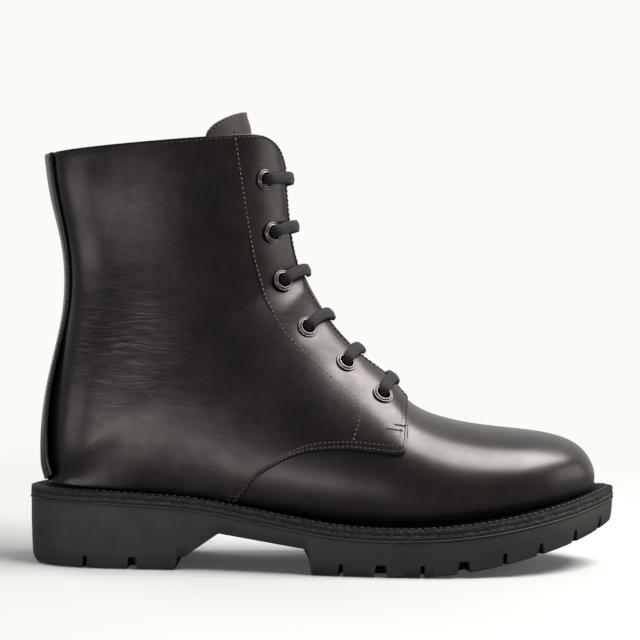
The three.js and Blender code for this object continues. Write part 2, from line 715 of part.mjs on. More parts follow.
// A ring that follows the sole's edge between two insets.
function soleRing(rows, outerInset, innerInset, top, bottom) {
  const loop = (inset, height) => {
    const lateral = rows.map((k) => {
      const edge = soleEdge(k, LATERAL, inset);
      return new THREE.Vector3(edge.x, edge.y, height(k, edge.x));
    });
    const medial = rows.slice(1, -1).map((k) => {
      const edge = soleEdge(k, MEDIAL, inset);
      return new THREE.Vector3(edge.x, edge.y, height(k, edge.x));
    });
    return [...lateral, ...medial.reverse()];
  };
  const loops = [
    loop(outerInset, top),
    loop(innerInset, top),
    loop(innerInset, bottom),
    loop(outerInset, bottom),
  ];
  const corners = [];
  loops.forEach((here, l) => {
    const next = loops[(l + 1) % loops.length];
    here.forEach((a, i) => {
      const j = (i + 1) % here.length;
      corners.push(a, here[j], next[j], a, next[j], next[i]);
    });
  });
  return meshFromTriangles(corners);
}

const fromWelt = (offset) => (k) => soleAt(k)[3] + offset;
const MIDSOLE_TOP = -WELT_THICKNESS - LAYER_GAP;
const OUTSOLE_TOP = MIDSOLE_TOP - MIDSOLE_THICKNESS - LAYER_GAP;
const LAST_ROW = SOLE_STATIONS.length - 1;
const EDGE_ROWS = [0, 0.35, ...spread(1, LAST_ROW - 1, 17), LAST_ROW - 0.35, LAST_ROW];

function treadHeight(k, x) {
  if (x < TREAD.heelBevel) {
    return TREAD.heelBevel - Math.sqrt(TREAD.heelBevel ** 2 - (TREAD.heelBevel - Math.max(0, x)) ** 2);
  }
  if (x <= TREAD.heelEnd) return 0;
  const slope = (x0, z0, x1, z1) => z0 + ((x - x0) / (x1 - x0)) * (z1 - z0);
  if (x < TREAD.breastTop[0]) return slope(TREAD.heelEnd, 0, ...TREAD.breastTop);
  if (x <= TREAD.waistEnd[0]) return slope(...TREAD.breastTop, ...TREAD.waistEnd);
  if (x < TREAD.forefoot) return slope(...TREAD.waistEnd, TREAD.forefoot, 0);
  const spring = Math.max(0, (x - TREAD.springStart) / TREAD.springLength);
  return TREAD.springRise * spring ** TREAD.springPower;
}

// A wedge-shaped notch between two lugs at the sole's edge, square to the edge in plan.
function notch(side, [x, topWidth, bottomWidth]) {
  const k = soleRowAt(x);
  const edge = soleEdge(k, side, 0);
  const inner = soleEdge(k, side, 1);
  const inwards = inner.clone().sub(edge);
  const base = treadHeight(k, edge.x);
  const shape = new THREE.Shape([
    new THREE.Vector2(-bottomWidth / 2, -3),
    new THREE.Vector2(bottomWidth / 2, -3),
    new THREE.Vector2(topWidth / 2, NOTCH.depth),
    new THREE.Vector2(-topWidth / 2, NOTCH.depth),
  ]);
  const body = new THREE.ExtrudeGeometry(shape, { depth: NOTCH.reach + 8, bevelEnabled: false });
  body.rotateX(Math.PI / 2); // the shape's height becomes +Z and its depth -Y
  body.translate(0, 8, 0);
  body.rotateZ(Math.atan2(inwards.y, inwards.x) + Math.PI / 2);
  return body.translate(edge.x, edge.y, base);
}

function outsole() {
  const { heelEnd, breastTop, waistEnd, forefoot, heelBevel, springStart } = TREAD;
  const breaks = [1.2, heelBevel, heelEnd, breastTop[0], waistEnd[0], forefoot, springStart].map(soleRowAt);
  const rows = [...new Set([...EDGE_ROWS, ...breaks])].sort((a, b) => a - b);
  const spaced = rows.filter((k, i) => i === 0 || k - rows[i - 1] > 0.03);
  const body = soleSlab(spaced, 0.5, 1.6, fromWelt(OUTSOLE_TOP), treadHeight);
  const notches = [LATERAL, MEDIAL].flatMap((side) =>
    [...HEEL_NOTCHES, ...FOREFOOT_NOTCHES].map((size) => notch(side, size)),
  );
  return cut(body, notches);
}

const MIDSOLE_BOTTOM = MIDSOLE_TOP - MIDSOLE_THICKNESS;
const midsole = () => soleSlab(EDGE_ROWS, 0.8, 0.8, fromWelt(MIDSOLE_TOP), fromWelt(MIDSOLE_BOTTOM));
const welt = () => soleRing(EDGE_ROWS, 0, WELT_WIDTH, fromWelt(0), fromWelt(-WELT_THICKNESS));
const weltStitch = () => soleRing(EDGE_ROWS, 3.2, 4.1, fromWelt(0.8), fromWelt(LAYER_GAP));

function insoleRib() {
  const inner = WELT_WIDTH + LAYER_GAP + RIB_WIDTH;
  return soleRing(EDGE_ROWS, WELT_WIDTH + LAYER_GAP, inner, fromWelt(0), fromWelt(-WELT_THICKNESS));
}

// Steel strip that bridges the waist, bedded in the cork.
function shankSlab(grow) {
  const [from, to, halfWidth] = [58 - grow, 152 + grow, 7 + grow];
  const rows = spread(soleRowAt(from), soleRowAt(to), 8);
  const corners = [];
  const quad = (a, b, c, d) => corners.push(a, b, c, a, c, d);
  const lines = rows.map((k) => {
    const x = soleAt(k)[0];
    const top = soleAt(k)[3] - 0.5 + (grow ? 2 : 0);
    const bottom = soleAt(k)[3] - 1.9 - grow;
    return [
      [-halfWidth, bottom],
      [halfWidth, bottom],
      [halfWidth, top],
      [-halfWidth, top],
    ].map(([y, z]) => new THREE.Vector3(x, y, z));
  });
  for (let i = 0; i < lines.length - 1; i++) {
    lines[i].forEach((a, j) => {
      const n = (j + 1) % 4;
      quad(a, lines[i][n], lines[i + 1][n], lines[i + 1][j]);
    });
  }
  const last = lines.at(-1);
  quad(lines[0][0], lines[0][3], lines[0][2], lines[0][1]);
  quad(last[0], last[1], last[2], last[3]);
  return meshFromTriangles(corners);
}

function corkFiller() {
  const inset = WELT_WIDTH + RIB_WIDTH + 3 * LAYER_GAP;
  const body = soleSlab(EDGE_ROWS, inset, inset, fromWelt(-LAYER_GAP), fromWelt(-WELT_THICKNESS));
  return cut(body, [shankSlab(LAYER_GAP)]);
}

const insoleBoard = () => soleSlab(EDGE_ROWS, INSOLE_INSET, INSOLE_INSET, fromWelt(2.9), fromWelt(LAYER_GAP));
const footbed = () => soleSlab(EDGE_ROWS, INSOLE_INSET, INSOLE_INSET, fromWelt(6.4), fromWelt(3.2));

// ---- assembly ----

const boot = new THREE.Group();
boot.position.x = -HEEL_CENTRE_X;

function add(name, geometry, finish) {
  geometry.computeVertexNormals();
  const mesh = new THREE.Mesh(geometry, new THREE.MeshStandardMaterial(COLOURS[finish]));
  mesh.name = name;
  boot.add(mesh);
}

add("outsole", outsole(), "rubber");
add("midsole", midsole(), "welt");
add("welt", welt(), "welt");
add("welt_stitch", weltStitch(), "thread");
add("insole_rib", insoleRib(), "board");
add("cork_filler", corkFiller(), "cork");
add("shank", shankSlab(0), "steel");
add("insole_board", insoleBoard(), "board");
add("footbed", footbed(), "lining");
add("heel_counter", heelCounter(), "stiffener");
add("toe_puff", toePuff(), "stiffener");
add("vamp", vamp(), "leather");
add("vamp_lining", vampLining(), "lining");
add("backstay", backstay(), "leather");
add("tongue", tongue(), "leather");
for (const [side, label] of [[LATERAL, "lateral"], [MEDIAL, "medial"]]) {
  add("quarter_" + label, quarter(side), "leather");
  add("quarter_lining_" + label, quarterLining(side), "lining");
  add("facing_stay_" + label, facingStay(side), "lining");
  laceStations[side].forEach((spot, i) => add("eyelet_" + label + "_" + (i + 1), eyelet(spot), "gunmetal"));
}
const laceCurve = lacePath();
add("lace", cord(laceCurve, LACE_RADIUS, 150), "lace");
add("aglet_upper", aglet(laceCurve, true), "aglet");
add("aglet_lower", aglet(laceCurve, false), "aglet");

export default boot;
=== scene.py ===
"""Laced derby boot with a lugged sole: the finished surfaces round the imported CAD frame.

Sizes are millimetres from the back of the sole and are turned into metres of the row frame when a
mesh is made. The upper's pieces all lie on one lasted surface, the same one the CAD part uses:
station lines s run from the toe (0) to the collar (26), and t runs round each line from the front
ridge (0) to the welt or the back seam (1 on the lateral side, -1 on the medial side).
"""
import functools
import math

import bmesh
import bpy
import numpy as np
from mathutils import Matrix, Vector


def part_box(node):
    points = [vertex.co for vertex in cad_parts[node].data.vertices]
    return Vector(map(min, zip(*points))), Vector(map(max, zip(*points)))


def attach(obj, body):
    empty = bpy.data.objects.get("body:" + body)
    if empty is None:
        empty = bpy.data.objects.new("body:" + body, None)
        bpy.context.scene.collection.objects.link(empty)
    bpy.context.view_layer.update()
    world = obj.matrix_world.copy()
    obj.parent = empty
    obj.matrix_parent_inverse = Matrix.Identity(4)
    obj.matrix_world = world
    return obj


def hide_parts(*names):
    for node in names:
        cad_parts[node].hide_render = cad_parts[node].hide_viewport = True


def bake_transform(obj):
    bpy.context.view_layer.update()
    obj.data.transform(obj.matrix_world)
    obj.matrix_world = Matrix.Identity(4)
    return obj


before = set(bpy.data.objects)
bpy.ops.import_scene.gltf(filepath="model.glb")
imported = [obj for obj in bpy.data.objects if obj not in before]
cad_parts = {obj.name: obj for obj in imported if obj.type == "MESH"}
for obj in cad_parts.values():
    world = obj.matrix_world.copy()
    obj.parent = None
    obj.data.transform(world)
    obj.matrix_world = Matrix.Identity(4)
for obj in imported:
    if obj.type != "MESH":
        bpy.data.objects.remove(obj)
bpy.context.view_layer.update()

MM = 0.001
HEEL_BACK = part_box("welt")[0][0]
LATERAL, MEDIAL = 1, -1
SIDES = {"lateral": LATERAL, "medial": MEDIAL}
rng = np.random.default_rng(7)

# Offsets from the lasted surface, inner face then outer face.
QUARTER_LAYER = (0.35, 2.1)
BACKSTAY_LAYER = (2.15, 3.6)
VAMP_LAYER = (-1.6, 0.0)
LINING_LAYER = (-5.2, -4.0)
TONGUE_LAYER = (-9.4, -7.7)

# The quarter's front edge from the ridge, and how far its rounded collar corner runs back and down.
FACING_EDGE = 10.0
CORNER_BACK, CORNER_DOWN = 27.0, 19.0
# Radius of the quarter's lower front corner; half widths of backstay and tongue.
LOWER_CORNER = 3.6
BACKSTAY_HALF = 13.0
TONGUE_HALF, TONGUE_TOP_HALF = 34.0, 44.0
# Station lines: the throat, the lowest one that ends on the back seam, and the collar.
THROAT, BACK_BOTTOM, COLLAR = 8.15, 18, 26
# Length of leather between station lines at the throat and at the collar, and the height below which the
# lining is painted dark as shade.
THROAT_PITCH, COLLAR_PITCH = 17, 12.5
SHADE_TOP = 52

# Front x, z; back x, z; half width lateral, medial; half width at the back lateral, medial;
# share of the line where it is widest; roundness of front and back; centre line y.
LAST = np.array([
    [298, 46, 297.5, 42.6, 0, 0, 0, 0, 0.6, 2.2, 2.4, 9],
    [296, 53.5, 295.8, 40.8, 15, 15, 13.5, 13.5, 0.6, 2.2, 2.4, 9],
    [291, 61, 291, 39.4, 24, 23, 21.5, 20.5, 0.62, 2.2, 2.4, 8.8],
    [283, 66, 283, 37.6, 32.5, 31, 29.5, 28, 0.66, 2.2, 2.4, 8.5],
    [270, 69.3, 270, 34.7, 41, 38, 37.5, 34.5, 0.7, 2.2, 2.4, 8],
    [252, 71.2, 252, 31.2, 47, 42, 43, 38, 0.72, 2.2, 2.4, 6.3],
    [232, 73.3, 232, 28.2, 50, 44.5, 45.5, 40, 0.74, 2.2, 2.4, 4],
    [213, 77.5, 213, 26.4, 50.5, 46, 46, 41.5, 0.74, 2.2, 2.4, 1.3],
    [198, 84, 196, 25.8, 50, 45.5, 45.5, 41, 0.74, 2.1, 2.4, 0.3],
    [187, 99.5, 176, 25.8, 48, 42, 43.5, 37.5, 0.76, 1.9, 2.4, 0],
    [175.5, 107.5, 155, 27.4, 45.5, 38.5, 41, 34, 0.76, 1.9, 2.4, 0],
    [166, 116.5, 131, 31, 42.5, 36, 38, 31.5, 0.76, 1.9, 2.4, 0],
    [157, 126.5, 106, 35.3, 39.5, 35, 35, 30.5, 0.74, 2, 2.4, 0],
    [149.5, 138, 80, 38.7, 37, 35, 32, 30.5, 0.7, 2, 2.4, 0],
    [144.5, 147, 52, 40, 36, 35, 31, 30, 0.64, 2.1, 2.5, 0],
    [142.5, 152, 30, 40.7, 36, 35, 26.5, 26, 0.6, 2.1, 2.5, 0],
    [141, 156, 17, 41, 35.5, 34.5, 17, 17, 0.58, 2.1, 2.5, 0],
    [140.3, 158, 12, 41.4, 35.2, 34.2, 10.5, 10.5, 0.57, 2.1, 2.55, 0],
    [139.8, 159.5, 10, 42, 35, 34, 0, 0, 0.56, 2.1, 2.6, 0],
    [138.5, 164, 8.5, 60, 34, 33.5, 0, 0, 0.54, 2.1, 2.6, 0],
    [136.8, 171, 10, 83, 33.5, 33, 0, 0, 0.52, 2.1, 2.5, 0],
    [135.2, 179, 15, 107, 33, 32.5, 0, 0, 0.5, 2.15, 2.3, 0],
    [133.8, 187.5, 20.3, 133, 33, 33, 0, 0, 0.5, 2.2, 2.2, 0],
    [133, 195, 20.3, 152, 33.5, 33.5, 0, 0, 0.5, 2.2, 2.2, 0],
    [132.4, 202, 17.5, 171, 34.5, 34.5, 0, 0, 0.5, 2.2, 2.2, 0],
    [131.8, 211, 11.5, 192, 36, 36, 0, 0, 0.5, 2.2, 2.2, 0],
    [131, 224, 9, 213, 37.5, 37.5, 0, 0, 0.5, 2.2, 2.2, 0],
    [130.3, 236, 7.8, 225, 38, 38, 0, 0, 0.5, 2.2, 2.2, 0],
])

# x, lateral edge, medial edge and welt top of the sole, heel to toe.
SOLE = np.array([
    [0, 0, 0, 39],
    [2.5, 13, 13, 39],
    [9, 23, 22.5, 39],
    [20, 31, 30.5, 39],
    [38, 36.5, 36, 39],
    [60, 38, 37.5, 38.1],
    [85, 39.5, 37.5, 36.8],
    [110, 43, 37.5, 33],
    [135, 47.5, 39.5, 28.8],
    [160, 51.5, 43.5, 25],
    [185, 54.2, 48, 23.8],
    [210, 54.5, 52, 24.5],
    [232, 52, 54, 26.5],
    [252, 47, 54, 29.5],
    [270, 39.5, 51.5, 33],
    [285, 29, 45, 36.3],
    [296.5, 16, 34.5, 38.9],
    [303.4, 5, 25.5, 40.3],
    [307, -2.6, 16.8, 41.1],
    [308, -9, 9, 41.3],
])

# Side-view x, z of the quarter's curved lower edge.
DERBY = np.array([
    [106, 28], [112, 38.5], [118, 46], [127, 52.5], [137, 58],
    [148, 61.3], [165, 62.5], [180, 61.3], [200, 59.5],
])

# Side-view points: eyelets, and the seam that closes the facing.
EYELETS = [(121, 199), (125, 172), (131, 147), (144, 123), (164, 105), (183, 89)]
FACING_SEAM = [
    (105.5, 222.5), (109, 201), (111.5, 185), (114, 170), (120, 146), (131, 123),
    (140, 113), (152, 102), (160, 95), (168, 89), (171.6, 83), (171.4, 77), (169.7, 71), (168.7, 66.5),
]


# ---- tables and the lasted surface ----

def slopes(rows):
    """Tangents at each row that never overshoot a neighbour."""
    step = np.diff(rows, axis=0)
    before, after = step[:-1], step[1:]
    total = before + after
    inner = np.where(before * after > 0, 2 * before * after / np.where(total == 0, 1, total), 0)
    first = (3 * step[0] - step[1]) / 2
    last = (3 * step[-1] - step[-2]) / 2
    return np.vstack([first, inner, last])


def read(rows, position):
    """A table's values between its rows."""
    position = np.atleast_1d(np.asarray(position, float))
    i = np.clip(np.floor(position).astype(int), 0, len(rows) - 2)
    u = (position - i)[:, None]
    tangent = slopes(rows)
    rise = u * u * (3 - 2 * u)
    curve = tangent[i] * u * (1 - u) ** 2 - tangent[i + 1] * u * u * (1 - u)
    return rows[i] + (rows[i + 1] - rows[i]) * rise + curve


def relaxed(values, sigma):
    """Columns smoothed along the rows with their end values kept."""
    reach = int(4 * sigma)
    kernel = np.exp(-0.5 * (np.arange(-reach, reach + 1) / sigma) ** 2)
    kernel /= kernel.sum()
    out = np.empty_like(values)
    for c in range(values.shape[1]):
        v = values[:, c]
        padded = np.concatenate([2 * v[0] - v[reach:0:-1], v, 2 * v[-1] - v[-2:-reach - 2:-1]])
        out[:, c] = np.convolve(padded, kernel, "valid")
    return out


FINE = 0.05
FINE_S = np.arange(0, len(LAST) - 1 + FINE / 2, FINE)
FINE_LAST = read(LAST, FINE_S)
SMOOTH_COLUMNS = [0, 1, 2, 3, 4, 5, 8, 9, 10, 11]
FINE_LAST[:, SMOOTH_COLUMNS] = relaxed(FINE_LAST[:, SMOOTH_COLUMNS], 9)
LAST_END = float(len(LAST) - 1)


def station(s):
    return np.array([np.interp(s, FINE_S, FINE_LAST[:, c]) for c in range(LAST.shape[1])])


@functools.cache
def half_profile(s, side):
    """Share along the line, half width and length run so far, on one side of a station line."""
    fx, fz, bx, bz, wl, wm, bl, bm, widest, nf, nb, _ = station(s)
    width, back = (wl, bl) if side == LATERAL else (wm, bm)
    taper = 1 - (min(1.0, back / width) if width > 1e-9 else 1.0) ** nb
    angle = np.linspace(0, math.pi / 2, 150)
    front_share = widest * (1 - np.cos(angle) ** (2 / nf))
    front_half = width * np.sin(angle) ** (2 / nf)
    reach = np.sin(angle[1:]) ** (2 / nb)
    back_half = width * np.maximum(0, 1 - taper * reach ** nb) ** (1 / nb)
    back_half = np.where(back_half < 1e-6 * width, 0, back_half)
    share = np.concatenate([front_share, widest + (1 - widest) * reach])
    half = np.concatenate([front_half, back_half])
    length = math.hypot(bx - fx, bz - fz)
    run = np.concatenate([[0], np.cumsum(np.hypot(np.diff(share) * length, np.diff(half)))])
    return share, half, run


def profile(s, side):
    return half_profile(round(float(s), 5), side)


def half_length(s, side):
    return profile(s, side)[2][-1]


def lengths_at(s, spots):
    """Half lengths of a station line on the sides that signed positions lie on."""
    return np.where(spots < 0, half_length(s, MEDIAL), half_length(s, LATERAL))


def surface_row(s, t):
    """Points of the lasted surface on one station line, for an array of t."""
    t = np.asarray(t, float)
    if s >= BACK_BOTTOM:
        t = np.where(np.abs(t) > 1, t - 2 * np.sign(t), t)
    t = np.clip(t, -1, 1)
    fx, fz, bx, bz = station(s)[:4]
    centre = station(s)[11]
    share, half = np.empty_like(t), np.empty_like(t)
    for side in (LATERAL, MEDIAL):
        mask = (t >= 0) if side == LATERAL else (t < 0)
        shares, halves, run = profile(s, side)
        target = np.abs(t[mask]) * run[-1]
        share[mask] = np.interp(target, run, shares)
        half[mask] = np.interp(target, run, halves) * side
    return np.stack([fx + share * (bx - fx), centre - half, fz + share * (bz - fz)], -1)


def normal_row(s, t):
    """Outward normals on one station line."""
    t = np.asarray(t, float)
    low, high = max(0.0, s - 0.06), min(LAST_END, s + 0.06)
    if s >= BACK_BOTTOM:
        low = max(low, BACK_BOTTOM)
    step = 0.008
    sample = np.where((np.abs(t) < step) & (s < 0.05), step, t)
    along = surface_row(high, sample) - surface_row(low, sample)
    around = surface_row(s, sample + step) - surface_row(s, sample - step)
    normal = np.cross(along, around)
    if s < 0.05:
        mirror = np.cross(
            surface_row(high, -sample) - surface_row(low, -sample),
            surface_row(s, -sample + step) - surface_row(s, -sample - step),
        )
        normal = normal / np.linalg.norm(normal, axis=-1, keepdims=True)
        normal = normal + mirror / np.linalg.norm(mirror, axis=-1, keepdims=True)
    return normal / np.maximum(1e-12, np.linalg.norm(normal, axis=-1, keepdims=True))


def bisect(f, low, high):
    starts = f(low) > 0
    for _ in range(40):
        middle = (low + high) / 2
        if (f(middle) > 0) == starts:
            low = middle
        else:
            high = middle
    return (low + high) / 2


def locate(x, z):
    """Station line s and distance from the front ridge of a side-view point, lateral side."""
    def side_of_line(s):
        fx, fz, bx, bz = station(s)[:4]
        return (x - bx) * (fz - bz) - (z - bz) * (fx - bx)

    s = bisect(side_of_line, THROAT - 1.5, COLLAR + 0.5)
    fx, fz, bx, bz = station(s)[:4]
    share = ((x - fx) * (bx - fx) + (z - fz) * (bz - fz)) / ((bx - fx) ** 2 + (bz - fz) ** 2)
    shares, _, run = profile(s, LATERAL)
    return s, float(np.interp(share, shares, run))


def derby_height(x):
    fine = read(DERBY, np.linspace(0, len(DERBY) - 1, 300))
    return np.interp(x, fine[:, 0], fine[:, 1], left=0)


def derby_distance(s, side):
    """Length from the front ridge to the quarter's lower edge."""
    total = half_length(s, side)
    t = side * np.linspace(0, 1, 600)
    points = surface_row(s, t)
    below = points[:, 2] < derby_height(points[:, 0])
    return total * np.argmax(below) / 599 if below.any() else total


def facing_distance(s):
    """Distance of the quarter's front edge from the ridge, with the rounded collar corner."""
    x, z = station(s)[:2]
    top_x, top_z = station(COLLAR)[:2]
    below = math.hypot(top_x - x, top_z - z) / CORNER_DOWN
    if below >= 1:
        return FACING_EDGE
    return FACING_EDGE + CORNER_BACK * (1 - math.sqrt(1 - (1 - below) ** 2))


def smoothstep(x, low, high):
    u = np.clip((np.asarray(x, float) - low) / (high - low), 0, 1)
    return u * u * (3 - 2 * u)


def exp_bump(x, centre, width):
    return np.exp(-(((np.asarray(x, float) - centre) / width) ** 2))


# ---- meshes ----

def to_row_frame(points):
    out = np.array(points, float) * MM
    out[:, 0] += HEEL_BACK
    return out


def placed(name, data):
    """A new object in the scene."""
    obj = bpy.data.objects.new(name, data)
    bpy.context.collection.objects.link(obj)
    return obj


def make_object(name, points, faces, material):
    """A smooth-shaded mesh object from millimetre points."""
    mesh = bpy.data.meshes.new(name)
    mesh.from_pydata(to_row_frame(points).tolist(), [], faces)
    mesh.validate()
    for item in material if isinstance(material, list) else [material]:
        mesh.materials.append(item)
    mesh.shade_smooth()
    return placed(name, mesh)


def weld(obj, distance=2e-6):
    """Merges points that meet, drops loose ones and turns the faces out."""
    bm = bmesh.new()
    bm.from_mesh(obj.data)
    bmesh.ops.remove_doubles(bm, verts=bm.verts, dist=distance)
    bmesh.ops.recalc_face_normals(bm, faces=bm.faces)
    bmesh.ops.delete(bm, geom=[v for v in bm.verts if not v.link_faces], context="VERTS")
    bm.to_mesh(obj.data)
    bm.free()


def edge_roll(distance, radius):
    """How far a cut edge falls away, from 1 at the edge to 0 one radius in."""
    u = 1 - np.clip(distance / radius, 0, 1)
    return 1 - np.sqrt(np.maximum(0, 1 - u * u))


def run_over(grid, axis=0):
    """Length run so far along one axis of a path or grid of points."""
    run = np.linalg.norm(np.diff(grid, axis=axis), axis=-1).cumsum(axis)
    return np.concatenate([np.zeros_like(run.take([0], axis)), run], axis)


# Distances from a rolled cut edge, and the same as station steps at the lower and collar edges.
ROLL = [0, 0.08, 0.22, 0.42, 0.7, 1.1]
LOW_ENDS = np.array(ROLL) / 18
COLLAR_ENDS = np.array(ROLL)[::-1] / COLLAR_PITCH


def across(length, middle):
    """Distances of the columns on a row, bunched at the rolled edges."""
    last = [length - d for d in reversed(ROLL)]
    return np.concatenate([ROLL, np.linspace(ROLL[-1], last[0], middle + 2)[1:-1], last])


def side_columns(rows, side, middle, reach):
    """Columns of each row between two distances from the front ridge; reach gives both for a row."""
    columns = []
    for s in rows:
        start, end = reach(s)
        spots = (start + across(end - start, middle)) / half_length(s, side) * side
        columns.append(spots if side == LATERAL else spots[::-1])
    return columns


def shell(name, rows, columns, layer, material, shape=None, keep=None, tip_closed=False, roll=1.0,
          row_edges=(False, False), relief=None):
    """A closed sheet between two offsets over a grid of station lines and t columns.

    columns[i] holds row i's t values and shape moves points after the offset. roll is the radius of
    the cut edges at both column ends, row_edges says which row ends are cut edges too, and relief
    adds to the outer offset from the outer face's own points.
    """
    count = len(columns[0])
    base = np.array([surface_row(s, t) for s, t in zip(rows, columns)])
    normals = np.array([normal_row(s, t) for s, t in zip(rows, columns)])
    run, climb = run_over(base, 1), run_over(base)
    edge = np.minimum(run, run[:, -1:] - run) if roll else np.full(run.shape, 9.0)
    if row_edges[0]:
        edge = np.minimum(edge, climb)
    if row_edges[1]:
        edge = np.minimum(edge, climb[-1:] - climb)
    fall = edge_roll(edge, roll or 1.0) * (layer[1] - layer[0]) * 0.8
    outer_offset = np.full(base.shape[:2], layer[1]) - fall
    if relief is not None:
        outer_offset = outer_offset + relief(base, edge)
    outer = base + normals * outer_offset[..., None]
    inner = base + normals * layer[0]
    if shape is not None:
        outer, inner = shape(outer, normals, rows, columns), shape(inner, normals, rows, columns)
    faces = sheet_faces(len(rows), count, keep, tip_closed)
    obj = make_object(name, np.concatenate([outer.reshape(-1, 3), inner.reshape(-1, 3)]), faces, material)
    weld(obj)
    return obj


def sheet_faces(rows, count, keep, tip_closed):
    """Faces of a doubled grid with walls round the kept cells."""
    kept = np.ones((rows + 1, count + 1), bool)
    kept[0, :] = kept[-1, :] = False
    kept[:, 0] = kept[:, -1] = False
    if keep is not None:
        kept[1:-1, 1:-1] &= keep
    under = rows * count
    faces = []

    def at(i, j):
        return i * count + j

    for i in range(rows - 1):
        for j in range(count - 1):
            if not kept[i + 1, j + 1]:
                continue
            a, b, c, d = at(i, j), at(i + 1, j), at(i + 1, j + 1), at(i, j + 1)
            faces.append((a, b, c, d))
            faces.append((a + under, d + under, c + under, b + under))
            walls = [(i, j + 1, d, a), (i + 2, j + 1, b, c), (i + 1, j, a, b), (i + 1, j + 2, c, d)]
            for row, column, start, end in walls:
                if not kept[row, column] and not (row == 0 and tip_closed):
                    faces.append((start, start + under, end + under, end))
    return faces


def spline(points, steps):
    """A smooth path through points (Catmull-Rom)."""
    p = np.asarray(points, float)
    padded = np.vstack([2 * p[0] - p[1], p, 2 * p[-1] - p[-2]])
    out = []
    for i in range(1, len(padded) - 2):
        a, b, c, d = padded[i - 1:i + 3]
        for u in np.linspace(0, 1, steps, endpoint=False):
            square, cube = 2 * a - 5 * b + 4 * c - d, 3 * b - a - 3 * c + d
            out.append(0.5 * (2 * b + (c - a) * u + square * u**2 + cube * u**3))
    out.append(p[-1])
    return np.array(out)


def resample(path, pitch):
    """Points a fixed length apart, with the whole path covered."""
    run = run_over(path)
    count = max(1, round(run[-1] / pitch))
    target = np.linspace(0, run[-1], count + 1)
    return np.stack([np.interp(target, run, path[:, c]) for c in range(path.shape[1])], 1)


# ---- materials ----

class Nodes:
    """A small helper that adds nodes to one material and links them."""

    def __init__(self, name):
        self.material = bpy.data.materials.new(name)
        self.material.use_nodes = True
        self.tree = self.material.node_tree
        self.shader = self.tree.nodes["Principled BSDF"]
        self.place = self.add("ShaderNodeTexCoord").outputs["Object"]

    def add(self, kind, **values):
        node = self.tree.nodes.new(kind)
        for key, value in values.items():
            if key in node.inputs.keys():
                node.inputs[key].default_value = value
            else:
                setattr(node, key, value)
        return node

    def link(self, source, target):
        self.tree.links.new(source, target)
        return self

    def scaled(self, scale, rotation=(0, 0, 0)):
        mapping = self.add("ShaderNodeMapping")
        mapping.inputs["Scale"].default_value = scale
        mapping.inputs["Rotation"].default_value = rotation
        self.link(self.place, mapping.inputs["Vector"])
        return mapping.outputs["Vector"]

    def noise(self, scale, detail=4.0, roughness=0.55, vector=None, distortion=0.0):
        values = {"Scale": scale, "Detail": detail, "Roughness": roughness, "Distortion": distortion}
        node = self.add("ShaderNodeTexNoise", **values)
        self.link(vector or self.place, node.inputs["Vector"])
        return node.outputs["Fac"]

    def cells(self, scale):
        node = self.add("ShaderNodeTexVoronoi", feature="DISTANCE_TO_EDGE", Scale=scale)
        self.link(self.place, node.inputs["Vector"])
        return node.outputs["Distance"]

    def ramp(self, source, stops):
        node = self.add("ShaderNodeValToRGB")
        elements = node.color_ramp.elements
        while len(elements) < len(stops):
            elements.new(0.5)
        for element, (position, colour) in zip(elements, stops):
            element.position = position
            element.color = (*colour, 1)
        self.link(source, node.inputs["Fac"])
        return node.outputs["Color"]

    def spread(self, source, low, high, start=0.0, end=1.0):
        """A value between start and end moved to a range."""
        node = self.add("ShaderNodeMapRange", interpolation_type="SMOOTHSTEP")
        for key, value in (("From Min", start), ("From Max", end), ("To Min", low), ("To Max", high)):
            node.inputs[key].default_value = value
        self.link(source, node.inputs["Value"])
        return node.outputs["Result"]

    def near(self, x, z, reach):
        """1 at a place on the boot's side, falling to a fifth at a distance."""
        gap = self.add("ShaderNodeVectorMath", operation="DISTANCE")
        self.link(self.scaled((0.6, 0, 1)), gap.inputs[0])
        gap.inputs[1].default_value = (0.6 * (x * MM + HEEL_BACK), 0, z * MM)
        return self.spread(gap.outputs["Value"], 1, 0.2, 0, reach * MM)

    def mixed(self, factor, first, second):
        """One shader turning into another."""
        node = self.add("ShaderNodeMixShader")
        self.link(factor, node.inputs["Fac"]).link(first, node.inputs[1]).link(second, node.inputs[2])
        return node.outputs["Shader"]

    def times(self, a, b):
        node = self.add("ShaderNodeMath", operation="MULTIPLY")
        self.link(a, node.inputs[0]).link(b, node.inputs[1])
        return node.outputs["Value"]

    def bump(self, source, strength, distance):
        node = self.add("ShaderNodeBump", Strength=strength, Distance=distance)
        self.link(source, node.inputs["Height"])
        previous = self.shader.inputs["Normal"]
        if previous.is_linked:
            self.link(previous.links[0].from_socket, node.inputs["Normal"])
        self.link(node.outputs["Normal"], previous)
        return self

    def set(self, **values):
        for key, value in values.items():
            self.shader.inputs[key.replace("_", " ")].default_value = value
        return self


def two_tones(colour, spread):
    low = tuple(c * (1 - spread) for c in colour)
    high = tuple(c * (1 + spread) for c in colour)
    return [(0.3, low), (0.7, high)]


def worn_tones(colour):
    """Dark, plain and slightly reddish patches."""
    low = tuple(c * 0.6 for c in colour)
    return [(0.32, low), (0.5, colour), (0.72, (colour[0] * 1.55, colour[1] * 1.3, colour[2] * 1.3))]


